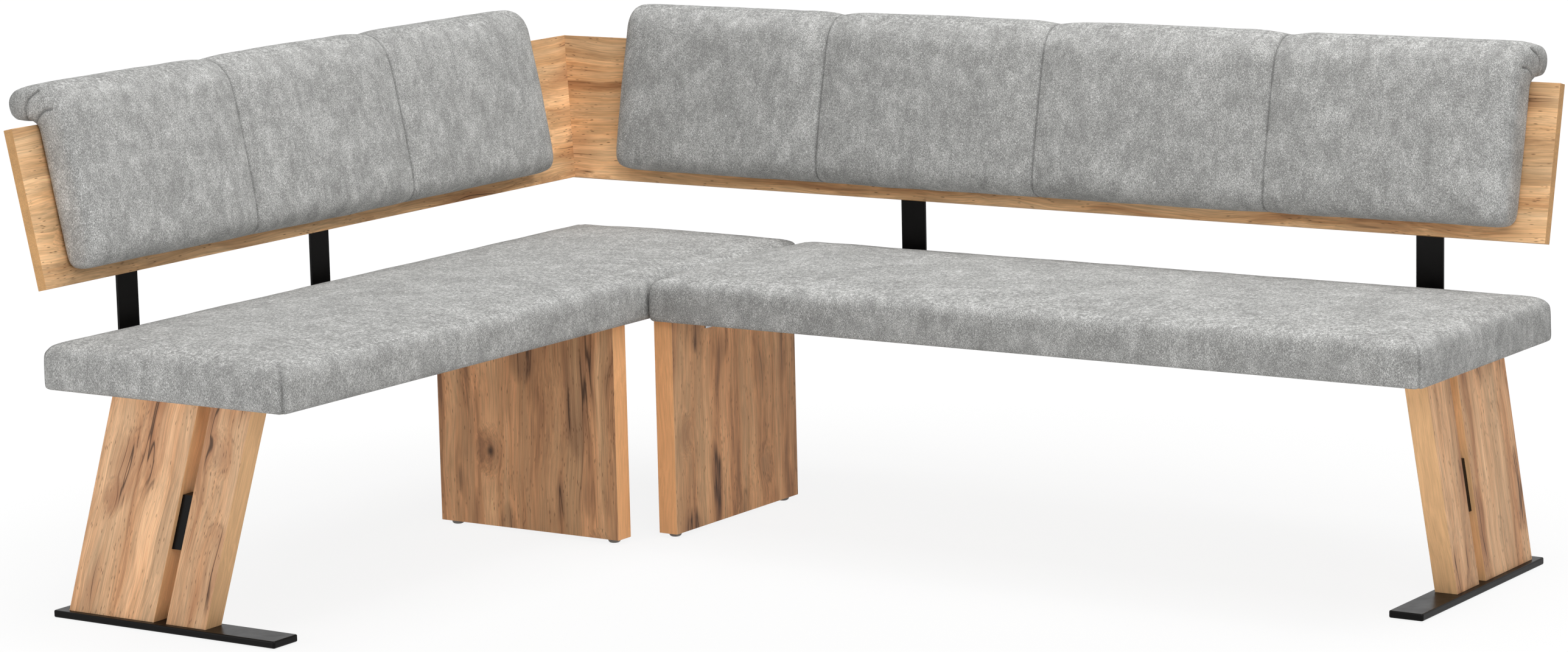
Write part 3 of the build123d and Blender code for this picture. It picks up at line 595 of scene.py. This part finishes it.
@dataclass
class Upholstery:
    """How one padded piece is made: remeshed, filled under pressure, and finished."""

    voxel_mm: float
    # The most that the filling may push the cover out
    cap_mm: float
    # Unevenness of foam under cloth, as waves for each metre and their height in millimetres
    waves: Sequence[tuple[float, float]]
    pressure: float = 4.0
    frames: int = 20
    quality: int = 4
    rounds: int = 3
    fill: float = 0.85

    def even_out(self, piece: bpy.types.Object) -> None:
        """Remesh a piece into even quads and smooth away the steps.

        Args:
            piece: Piece to change.
        """
        remesh = piece.modifiers.new("even_quads", "REMESH")
        remesh.mode = "VOXEL"
        remesh.voxel_size = self.voxel_mm * MM
        settle(piece)
        smooth(piece, self.rounds)

    def inflate(self, piece: bpy.types.Object, held: np.ndarray) -> None:
        """Swell a piece as cloth under pressure.

        Args:
            piece: Evenly meshed piece.
            held: True for each vertex that stays where it is.
        """
        rest = points_of(piece)
        pins = piece.vertex_groups.new(name="held")
        pins.add([int(i) for i in np.flatnonzero(held)], 1.0, "REPLACE")
        cloth = piece.modifiers.new("filling", "CLOTH")
        cloth.settings.use_pressure = True
        cloth.settings.uniform_pressure_force = self.pressure
        cloth.settings.vertex_group_mass = pins.name
        cloth.settings.effector_weights.gravity = 0.0
        cloth.settings.quality = self.quality
        cloth.collision_settings.use_collision = False
        cloth.point_cache.frame_start = 1
        cloth.point_cache.frame_end = self.frames
        scene = bpy.context.scene
        for step in range(1, self.frames + 1):
            scene.frame_set(step)
        settle(piece)
        scene.frame_set(1)
        piece.vertex_groups.clear()
        moved = points_of(piece) - rest
        reach = np.maximum(np.linalg.norm(moved, axis=1, keepdims=True), 1e-9)
        log.info("%s swells by up to %.1f mm before its cap", piece.name, reach.max() / MM)
        move_points(piece, rest + moved * np.minimum(1.0, self.cap_mm * MM / reach))
        smooth(piece, self.rounds)

    def refine(self, piece: bpy.types.Object) -> None:
        """Divide every quad once, smoothly.

        Args:
            piece: Piece to change.
        """
        finer = piece.modifiers.new("finer", "SUBSURF")
        finer.levels = finer.render_levels = 1
        settle(piece)

    def ripple(self, points: np.ndarray, normals: np.ndarray, loose: np.ndarray) -> None:
        """Give a cover the slight unevenness of foam under cloth.

        Args:
            points: Vertex positions, which are changed.
            normals: Vertex normals.
            loose: How freely each vertex may move, from 0 to 1.
        """
        for index, point in enumerate(points):
            wave = sum(noise.noise(Vector(point) * pitch) * high for pitch, high in self.waves)
            points[index] = point + normals[index] * (wave * float(loose[index]) * MM)

    def dress(self, piece: bpy.types.Object, cover: bpy.types.Material, *nodes: str) -> None:
        """Finish a cushion and put it in place of its solid.

        Args:
            piece: The sewn cushion.
            cover: Its fabric.
            nodes: Names of the solids that it stands for.
        """
        for face in piece.data.polygons:
            face.use_smooth = True
        piece.data.materials.clear()
        piece.data.materials.append(cover)
        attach(piece, "root")
        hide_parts(*nodes)
        log.info("%s has %d faces", piece.name, len(piece.data.polygons))


def densify(piece: bpy.types.Object, zones: Sequence[tuple[float, float, float]]) -> None:
    """Divide the mesh more finely where seams and folds lie.

    Args:
        piece: Evenly meshed piece.
        zones: For each zone, its span of X and its lowest Y.
    """
    shell = bmesh.new()
    shell.from_mesh(piece.data)
    chosen = {
        vert
        for vert in shell.verts
        if any(start < vert.co.x < end and vert.co.y > low for start, end, low in zones)
    }
    edges = [edge for edge in shell.edges if chosen.issuperset(edge.verts)]
    bmesh.ops.subdivide_edges(shell, edges=edges, cuts=2, use_grid_fill=True)
    shell.to_mesh(piece.data)
    shell.free()


def paint_seam_and_fold_shade(piece: bpy.types.Object, depth: np.ndarray) -> None:
    """Keep how much painted shade each vertex gets in a seam or fold, from 0 to 1, for the cover's
    colour.
    """
    sewn = piece.data.attributes.new("seam", "FLOAT", "POINT")
    sewn.data.foreach_set("value", np.ascontiguousarray(depth, dtype=np.float32))


@dataclass
class SeatCushion:
    """Foam seat in its cover: crowned, rounded above, crisp below, with sewn upright corners."""

    node: str
    panel: str
    making: Upholstery = field(
        default_factory=lambda: Upholstery(9.0, 2.5, ((9.0, 0.9), (24.0, 0.35)))
    )
    top_edge_mm: float = 19.0
    corner_mm: float = 8.0
    bottom_edge_mm: float = 4.0
    edge_segments: int = 4
    # Edges that turn by less than this angle are part of a rounding already
    sharp: float = 0.9
    crown_mm: float = 7.5
    crown_run_mm: float = 125.0
    # The crown runs twice as far along a side that is shorter than this
    long_side_mm: float = 800.0
    start_inset_mm: float = 1.0
    # Heights above the underside: held by the panel, free to ripple, and squared off
    held_mm: float = 14.0
    loose_mm: float = 30.0
    square_mm: float = 30.0
    pull_mm: float = 2.8
    panel_clearance_mm: float = 0.4
    pocket_drop_mm: float = 20.0
    seam_width_mm: float = 2.6
    seam_depth_mm: float = 1.4
    seam_reach_mm: float = 40.0
    seam_shade: float = 0.5

    def build(self) -> bpy.types.Object:
        """Make the cushion's mesh.

        Returns:
            The cushion, without its cover.
        """
        low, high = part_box(self.node)
        top = high.z - self.crown_mm * MM
        shell = bmesh.new()
        bmesh.ops.create_cube(shell, size=1.0)
        inset = self.start_inset_mm * MM
        size = Vector((high.x - low.x - 2 * inset, high.y - low.y - 2 * inset, top - low.z))
        bmesh.ops.scale(shell, vec=size, verts=shell.verts)
        middle = (low.z + top) / 2
        centre = ((low.x + high.x) / 2, (low.y + high.y) / 2, middle)
        bmesh.ops.translate(shell, vec=centre, verts=shell.verts)
        for radius, chosen in (
            (self.corner_mm, lambda edge: abs(edge.verts[0].co.z - edge.verts[1].co.z) > 0.01),
            (self.top_edge_mm, lambda edge: min(v.co.z for v in edge.verts) > middle),
            (self.bottom_edge_mm, lambda edge: max(v.co.z for v in edge.verts) < middle),
        ):
            edges = [e for e in shell.edges if chosen(e) and e.calc_face_angle(0) > self.sharp]
            bmesh.ops.bevel(
                shell,
                geom=edges,
                offset=radius * MM,
                affect="EDGES",
                segments=self.edge_segments,
                profile=0.5,
                material=-1,
            )
        piece = link_piece(shell, self.node + "_cover")
        self.making.even_out(piece)
        self.crown(piece)
        self.making.inflate(piece, points_of(piece)[:, 2] < low.z + self.held_mm * MM)
        points, normals = points_of(piece), normals_of(piece)
        loose = np.clip((points[:, 2] - points[:, 2].min()) / (self.loose_mm * MM), 0.0, 1.0)
        self.making.ripple(points, normals, loose)
        move_points(piece, points)
        self.making.refine(piece)
        self.square_off(piece)
        self.open_below(piece)
        return piece

    def square_off(self, piece: bpy.types.Object) -> None:
        """Pull the cover down tight round the lower edge, and out to the solid's size.

        Args:
            piece: The cushion.
        """
        low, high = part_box(self.node)
        points = points_of(piece)
        above = ease((points[:, 2] - low.z) / (self.square_mm * MM))
        points[:, 2] = np.maximum(low.z, points[:, 2] - self.pull_mm * MM * (1 - above))
        for axis in range(3):
            stretch_to(points, axis, low[axis], high[axis])
        move_points(piece, points)

    def crown(self, piece: bpy.types.Object) -> None:
        """Raise the middle of the top over the edges.

        Args:
            piece: The cushion.
        """
        low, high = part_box(self.node)
        points = points_of(piece)
        rise = np.ones(len(points))
        for axis in (0, 1):
            length = high[axis] - low[axis]
            off = np.minimum(points[:, axis] - low[axis], high[axis] - points[:, axis])
            runs = 1 if length > self.long_side_mm * MM else 2
            reach = min(self.crown_run_mm * MM * runs, length / 2)
            rise = rise * (1 - (1 - np.clip(off / reach, 0, 1)) ** 2)
        lift = ease((points[:, 2] - low.z) / (high.z - low.z - self.crown_mm * MM))
        points[:, 2] += self.crown_mm * MM * rise * lift
        move_points(piece, points)

    def open_below(self, piece: bpy.types.Object) -> None:
        """Cut the pocket that the seat panel fills.

        Args:
            piece: The cushion.
        """
        low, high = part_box(self.panel)
        room, drop = self.panel_clearance_mm * MM, self.pocket_drop_mm * MM
        block = bmesh.new()
        bmesh.ops.create_cube(block, size=1.0)
        tall = high.z - low.z + room + drop
        size = (high.x - low.x + 2 * room, high.y - low.y + 2 * room, tall)
        bmesh.ops.scale(block, vec=size, verts=block.verts)
        level = (low.z - drop + high.z + room) / 2
        centre = ((low.x + high.x) / 2, (low.y + high.y) / 2, level)
        bmesh.ops.translate(block, vec=centre, verts=block.verts)
        tool = link_piece(block, "pocket")
        cut = piece.modifiers.new("pocket", "BOOLEAN")
        cut.operation = "DIFFERENCE"
        cut.object = tool
        cut.solver = "EXACT"
        settle(piece)
        mesh = tool.data
        bpy.data.objects.remove(tool)
        bpy.data.meshes.remove(mesh)

    def sew(self, piece: bpy.types.Object) -> None:
        """Draw the cover in along its four upright corner seams.

        Args:
            piece: The cushion.
        """
        low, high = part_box(self.node)
        points, normals = points_of(piece), normals_of(piece)
        sewn = np.zeros(len(points))
        for x, to_right in ((low.x, 1.0), (high.x, -1.0)):
            for y, to_back in ((low.y, 1.0), (high.y, -1.0)):
                in_x, in_y = (points[:, 0] - x) * to_right, (points[:, 1] - y) * to_back
                off = np.abs(in_x - in_y) / math.sqrt(2) / MM
                near = np.maximum(in_x, in_y) / MM < self.seam_reach_mm
                drawn = np.where(near, np.exp(-((off / self.seam_width_mm) ** 2)), 0.0)
                sewn = np.maximum(sewn, drawn)
        move_points(piece, points - normals * (sewn * self.seam_depth_mm * MM)[:, None])
        # Painted shade along the four corner seams, on top of the cover drawn in
        paint_seam_and_fold_shade(piece, sewn * self.seam_shade)

    def finish(self, cover: bpy.types.Material) -> None:
        """Build, sew and dress the cushion.

        Args:
            cover: Its fabric.
        """
        piece = self.build()
        self.sew(piece)
        self.making.dress(piece, cover, self.node)


@dataclass
class BackCushion:
    """Channelled pad that rolls over the back board, quilted by upright seams.

    Sizes are along the wing (X), up the board's slope (Y) and out from its front face (Z).
    """

    node: str
    core: str
    side: Side
    channels: int
    start_mm: float
    end_mm: float
    making: Upholstery = field(
        default_factory=lambda: Upholstery(8.0, 1.3, ((11.0, 0.9), (30.0, 0.4)))
    )
    # Where the cover is held: close to the board, below the roll, and beside each seam
    held_out_mm: float = 12.0
    held_up_mm: float = 275.0
    held_beside_mm: float = 5.0
    # Where the cover is free of the board: from one depth on over a run, and above a height
    free_out_mm: float = 6.0
    free_run_mm: float = 14.0
    free_up_mm: float = 280.0
    seam_width_mm: float = 2.2
    seam_depth_mm: float = 1.9
    seam_shade: float = 0.5
    # Finer mesh: beside each seam, and before, past and above these places at the outer end
    fine_beside_mm: float = 9.0
    fine_before_mm: float = 26.0
    fine_past_mm: float = 20.0
    fine_up_mm: float = 240.0
    # Rounded outer end of the roll: where it begins along and up, and its middle and radius
    end_swell_mm: float = 7.0
    cap_before_mm: float = 16.0
    cap_run_mm: float = 14.0
    cap_up_mm: float = 255.0
    cap_rise_mm: float = 25.0
    roll_middle_mm: tuple[float, float] = (302.0, -6.0)
    roll_radius_mm: float = 52.0
    fold_width_mm: float = 2.2
    fold_depth_mm: float = 4.2
    fold_shade: float = 0.45
    # Folds on the roll's outer end, as points up the slope and out from the board
    folds_mm: Sequence[Sequence[tuple[float, float]]] = (
        ((318, 24), (309, 4), (296, -7), (283, -10), (275, -14)),
        ((285, 42), (285, 29), (279, 17), (271, 6)),
    )

    def seams(self) -> list[float]:
        """Places of the upright seams along the wing, in metres."""
        pitch = (self.end_mm - self.start_mm) / self.channels
        return [(self.start_mm + pitch * index) * MM for index in range(1, self.channels)]

    def build(self) -> bpy.types.Object:
        """Make the cushion's mesh in the back board's own directions.

        Returns:
            The cushion, without its cover.
        """
        shell = bmesh.new()
        shell.from_mesh(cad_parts[self.node].data)
        bmesh.ops.transform(shell, matrix=self.side.back_face().inverted(), verts=shell.verts)
        bmesh.ops.remove_doubles(shell, verts=shell.verts, dist=0.02 * MM)
        bmesh.ops.recalc_face_normals(shell, faces=shell.faces)
        piece = link_piece(shell, self.node + "_cover")
        solid = points_of(piece)
        self.making.even_out(piece)
        points = points_of(piece)
        held = points[:, 2] < self.held_out_mm * MM
        held &= points[:, 1] < self.held_up_mm * MM
        for seam in self.seams():
            held |= np.abs(points[:, 0] - seam) < self.held_beside_mm * MM
        self.making.inflate(piece, held)
        self.making.refine(piece)
        points = points_of(piece)
        stretch_to(points, 0, solid[:, 0].min(), solid[:, 0].max())
        move_points(piece, points)
        return piece

    def sew(self, piece: bpy.types.Object) -> None:
        """Pull the seams in, round the roll's outer end and fold its cover.

        Args:
            piece: The cushion.
        """
        outer, beside = self.end_mm * MM, self.fine_beside_mm * MM
        zones = [(seam - beside, seam + beside, -1.0) for seam in self.seams()]
        start, end = outer - self.fine_before_mm * MM, outer + self.fine_past_mm * MM
        densify(piece, [*zones, (start, end, self.fine_up_mm * MM)])
        points, normals = points_of(piece), normals_of(piece)
        free = ease((points[:, 2] - self.free_out_mm * MM) / (self.free_run_mm * MM))
        free = np.clip(free + (points[:, 1] > self.free_up_mm * MM), 0, 1)
        sewn = np.zeros(len(points))
        for seam in self.seams():
            off = np.abs(points[:, 0] - seam) / MM
            sewn = np.maximum(sewn, np.exp(-((off / self.seam_width_mm) ** 2)))
        sewn *= free
        points -= normals * (sewn * self.seam_depth_mm * MM)[:, None]
        self.making.ripple(points, normals, free)
        folded = self.fold_end(points, normals)
        move_points(piece, points)
        # Painted shade in the seams and in the folds of the roll's outer end
        paint_seam_and_fold_shade(piece, np.maximum(sewn * self.seam_shade, folded * self.fold_shade))

    def fold_end(self, points: np.ndarray, normals: np.ndarray) -> np.ndarray:
        """Round the roll's outer end and press two folds into it.

        Args:
            points: Vertex positions, which are changed.
            normals: Vertex normals.

        Returns:
            How much each vertex lies in a fold, from 0 to 1.
        """
        along, up, out = (points[:, axis] / MM for axis in range(3))
        cap = ease((along - (self.end_mm - self.cap_before_mm)) / self.cap_run_mm)
        cap = cap * ease((up - self.cap_up_mm) / self.cap_rise_mm)
        high, deep = self.roll_middle_mm
        swell = 1 - np.clip(np.hypot(up - high, out - deep) / self.roll_radius_mm, 0, 1) ** 2
        points[:, 0] += cap * swell * self.end_swell_mm * MM
        folded = np.zeros(len(points))
        flat = points[:, 1:] / MM
        for path in self.folds_mm:
            for start, end in zip(path, path[1:]):
                start, run = np.array(start), np.array(end) - np.array(start)
                share = np.clip(((flat - start) @ run) / (run @ run), 0, 1)
                off = np.linalg.norm(flat - start - share[:, None] * run, axis=1)
                folded = np.maximum(folded, np.exp(-((off / self.fold_width_mm) ** 2)))
        folded *= cap * ease(normals[:, 0] * 2)
        points[:, 0] -= folded * self.fold_depth_mm * MM
        return folded

    def finish(self, cover: bpy.types.Material) -> None:
        """Build, sew, place and dress the cushion.

        Args:
            cover: Its fabric.
        """
        piece = self.build()
        self.sew(piece)
        piece.data.transform(self.side.back_face())
        shell = bmesh.new()
        shell.from_mesh(piece.data)
        bmesh.ops.recalc_face_normals(shell, faces=shell.faces)
        shell.to_mesh(piece.data)
        shell.free()
        self.making.dress(piece, cover, self.node, self.core)


def cover_node(node: str, material: bpy.types.Material) -> None:
    """Put a material in every material slot of a CAD node.

    Args:
        node: Name of the node.
        material: Its finish.
    """
    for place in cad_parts[node].material_slots:
        place.material = material
    log.info("%s is finished in %s", node, material.name)


@dataclass
class Boards:
    """Oak-decor boards of both wings, each with its own stretch of the decor."""

    names: Sequence[str] = (
        "inner_leg",
        "end_leg_wide_board",
        "end_leg_narrow_board",
        "back_board",
    )
    # How far an end leg leans forwards over its height
    lean: float = math.atan2(118.0, 372.0)
    # Tint for each kind of board, set partly as painted light for where those boards stand; the
    # others take END_TINT
    tints: Mapping[str, Tint] = field(
        default_factory=lambda: {"inner_leg": INNER_PAINTED_LIGHT_TINT, "back_board": BACK_TINT}
    )
    # How far the decor is moved on from wing to wing and from board to board, in metres
    wing_shift: tuple[float, float, float] = (1.7, 0.37, 0.61)
    board_shift: tuple[float, float, float] = (0.9, 2.3, 0.0)

    def directions(self, side: Side, board: str) -> tuple[Vector, Vector]:
        """Find the grain and cross-grain direction of a board in the part.

        Args:
            side: Wing that the board belongs to.
            board: Node name without its side.

        Returns:
            Grain direction and direction across the face.
        """
        turn = side.place().to_3x3()
        if board == "inner_leg":
            grain, across = Vector((0, 0, 1)), Vector((0, 1, 0))
        elif board == "back_board":
            grain = Vector((1, 0, 0))
            across = Vector((0, math.sin(BACK_TILT), math.cos(BACK_TILT)))
        else:
            grain = Vector((0, -math.sin(self.lean), math.cos(self.lean)))
            across = Vector((0, math.cos(self.lean), math.sin(self.lean)))
        return turn @ grain, turn @ across

    def dress(self) -> None:
        """Give each board its decor."""
        for row, side in enumerate(Side):
            for column, board in enumerate(self.names):
                grain, across = self.directions(side, board)
                shift = tuple(
                    wing * row + step * column
                    for wing, step in zip(self.wing_shift, self.board_shift)
                )
                node = f"{side.value}_{board}"
                tint = self.tints.get(board, END_TINT)
                name = f"oak_decor_{node}"
                finish = OakDecor(name, tint, tuple(grain), tuple(across), shift)
                cover_node(node, finish.make())


@dataclass
class Fittings:
    """Steel, plastic and plywood pieces, told apart by the ends of their names."""

    finishes: Sequence[tuple[Grained, tuple[str, ...]]] = (
        (ZINC_STEEL, ("screws", "dowels", "angles", "joining_plate")),
        (GREY_PLASTIC, ("glides", "pads")),
        (PLYWOOD, ("panel", "core")),
        (BLACK_STEEL, ("runner", "spacer", "bracket", "corner_plate")),
    )

    def dress(self) -> None:
        """Give every fitting its finish."""
        made = {finish.name: finish.make() for finish, _ in self.finishes}
        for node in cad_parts:
            for finish, endings in self.finishes:
                if node.endswith(endings):
                    cover_node(node, made[finish.name])
                    break


@dataclass(frozen=True)
class Lamp:
    """Soft square lamp: where it hangs, what it points at, its side in metres and its watts."""

    name: str
    place: tuple[float, float, float]
    target: tuple[float, float, float]
    size: float
    power: float

    def build(self) -> None:
        """Hang the lamp, out of the camera's sight."""
        data = bpy.data.lights.new(self.name, "AREA")
        data.size = self.size
        data.energy = self.power
        lamp = bpy.data.objects.new(self.name, data)
        aim = Vector(self.target) - Vector(self.place)
        turn = aim.to_track_quat("-Z", "Y").to_matrix().to_4x4()
        lamp.visible_camera = False
        lamp.matrix_world = Matrix.Translation(self.place) @ turn
        bpy.context.scene.collection.objects.link(lamp)


@dataclass
class Studio:
    """Pale floor, soft lamps and the camera of the photograph."""

    # Camera, worked out from the straight edges of the boards in the photograph
    place: tuple[float, float, float] = (4.0550088, -6.1312088, 1.68915)
    yaw: float = math.radians(33.5826)
    pitch: float = math.radians(9.6838)
    roll: float = math.radians(-1.3142)
    focal_px: float = 7433.098
    width_px: float = 2576.0
    sensor_mm: float = 36.0
    lamps: Sequence[Lamp] = (
        Lamp("key", (1.6, 1.2, 4.8), (0.0, 0.1, 0.4), 2.0, 85.0),
        Lamp("overhead", (0.0, -0.3, 4.8), (0.0, 0.1, 0.4), 3.0, 122.0),
        Lamp("fill", (3.4, -3.7, 3.5), (0.0, 0.0, 0.4), 2.4, 92.0),
        Lamp("low_left", (-1.2, -2.3, 0.4), (-0.7, -0.7, 0.2), 0.9, 10.5),
        Lamp("low_right", (3.3, -1.3, 0.45), (0.9, 0.4, 0.2), 1.2, 21.0),
    )
    sky_light: float = 0.13
    # Floor: half its side, the paper's colour and its own white, the share of that white beside
    # the bench, and the distances in metres over which it grows to all
    floor_size: float = 40.0
    paper: str = "#cccccc"
    white: float = 1.04
    white_share: float = 0.84
    fade_from: float = 0.9
    fade_to: float = 2.2

    def build(self) -> None:
        """Set up floor, light and camera."""
        bpy.context.scene.view_settings.view_transform = "Standard"
        self.floor()
        self.sky()
        for lamp in self.lamps:
            lamp.build()
        self.camera()

    def seen(self, tree: bpy.types.NodeTree) -> bpy.types.Node:
        """Tell the rays that show a surface from those that only light others.

        Args:
            tree: Node tree to add to.

        Returns:
            Node that gives 1 for camera, glossy and transmission rays.
        """
        rays = add_node(tree, "LightPath")
        seen = rays.outputs["Is Camera Ray"]
        for other in ("Is Glossy Ray", "Is Transmission Ray"):
            pair = (seen, rays.outputs[other])
            seen = add_node(tree, "Math", pair, operation="MAXIMUM")
        return seen

    def floor(self) -> None:
        """Large pale floor that shows white to the camera and keeps a soft shadow."""
        shell = bmesh.new()
        bmesh.ops.create_grid(shell, x_segments=1, y_segments=1, size=self.floor_size)
        floor = link_piece(shell, "studio_floor")
        # Matt white paper, which fades to plain white away from the bench
        material, tree, shader = new_material("matt_white_paper")
        shader.inputs["Base Color"].default_value = linear(self.paper)
        shader.inputs["Roughness"].default_value = 0.9
        source = add_node(tree, "TexCoord").outputs["Object"]
        off = add_node(tree, "VectorMath", (source,), operation="LENGTH").outputs["Value"]
        fade = (off, self.fade_from, self.fade_to, self.white_share, 1.0)
        fade = add_node(tree, "MapRange", fade)
        share = add_node(tree, "Math", (self.seen(tree), fade), operation="MULTIPLY")
        glow = add_node(tree, "Emission", {"Color": (1, 1, 1, 1), "Strength": self.white})
        mix = (share, shader, glow)
        mix = add_node(tree, "MixShader", mix)
        output = next(node for node in tree.nodes if node.type == "OUTPUT_MATERIAL")
        tree.links.new(mix.outputs[0], output.inputs["Surface"])
        floor.data.materials.append(material)

    def sky(self) -> None:
        """Even light from all round."""
        world = bpy.data.worlds.new("studio")
        world.use_nodes = True
        tree = world.node_tree
        tree.nodes.clear()
        strength = (self.seen(tree), 0.0, 1.0, self.sky_light, 1.0)
        strength = add_node(tree, "MapRange", strength)
        light = add_node(tree, "Background", {"Color": (1, 1, 1, 1), "Strength": strength})
        add_node(tree, "OutputWorld", {"Surface": light})
        bpy.context.scene.world = world

    def camera(self) -> None:
        """Camera at the photograph's viewpoint."""
        flat = math.cos(self.pitch)
        ahead = Vector(
            (-math.sin(self.yaw) * flat, math.cos(self.yaw) * flat, -math.sin(self.pitch))
        )
        level = Vector((math.cos(self.yaw), math.sin(self.yaw), 0.0))
        upright = level.cross(ahead)
        right = math.cos(self.roll) * level + math.sin(self.roll) * upright
        up = -math.sin(self.roll) * level + math.cos(self.roll) * upright
        data = bpy.data.cameras.new("photograph")
        data.sensor_fit = "HORIZONTAL"
        data.sensor_width = self.sensor_mm
        data.lens = self.focal_px * self.sensor_mm / self.width_px
        data.clip_end = 200.0
        camera = bpy.data.objects.new("photograph", data)
        turn = Matrix((right, up, -ahead)).transposed().to_4x4()
        camera.matrix_world = Matrix.Translation(self.place) @ turn
        bpy.context.scene.collection.objects.link(camera)
        bpy.context.scene.camera = camera


def main() -> None:
    """Build the studio and dress the bench."""
    logging.basicConfig(level=logging.INFO, format="%(name)s: %(message)s")
    Studio().build()
    Boards().dress()
    Fittings().dress()
    cover = Chenille().make()
    for side in Side:
        SeatCushion(f"{side.value}_seat_cushion", f"{side.value}_seat_panel").finish(cover)
    # Both back cushions start beside the corner; the right one is a channel longer
    for side, channels, end_mm in ((Side.LEFT, 3, 883.2), (Side.RIGHT, 4, 1402.7)):
        node = f"{side.value}_back_cushion"
        BackCushion(node, node + "_core", side, channels, -399.5, end_mm).finish(cover)


if __name__ == "__main__":
    main()
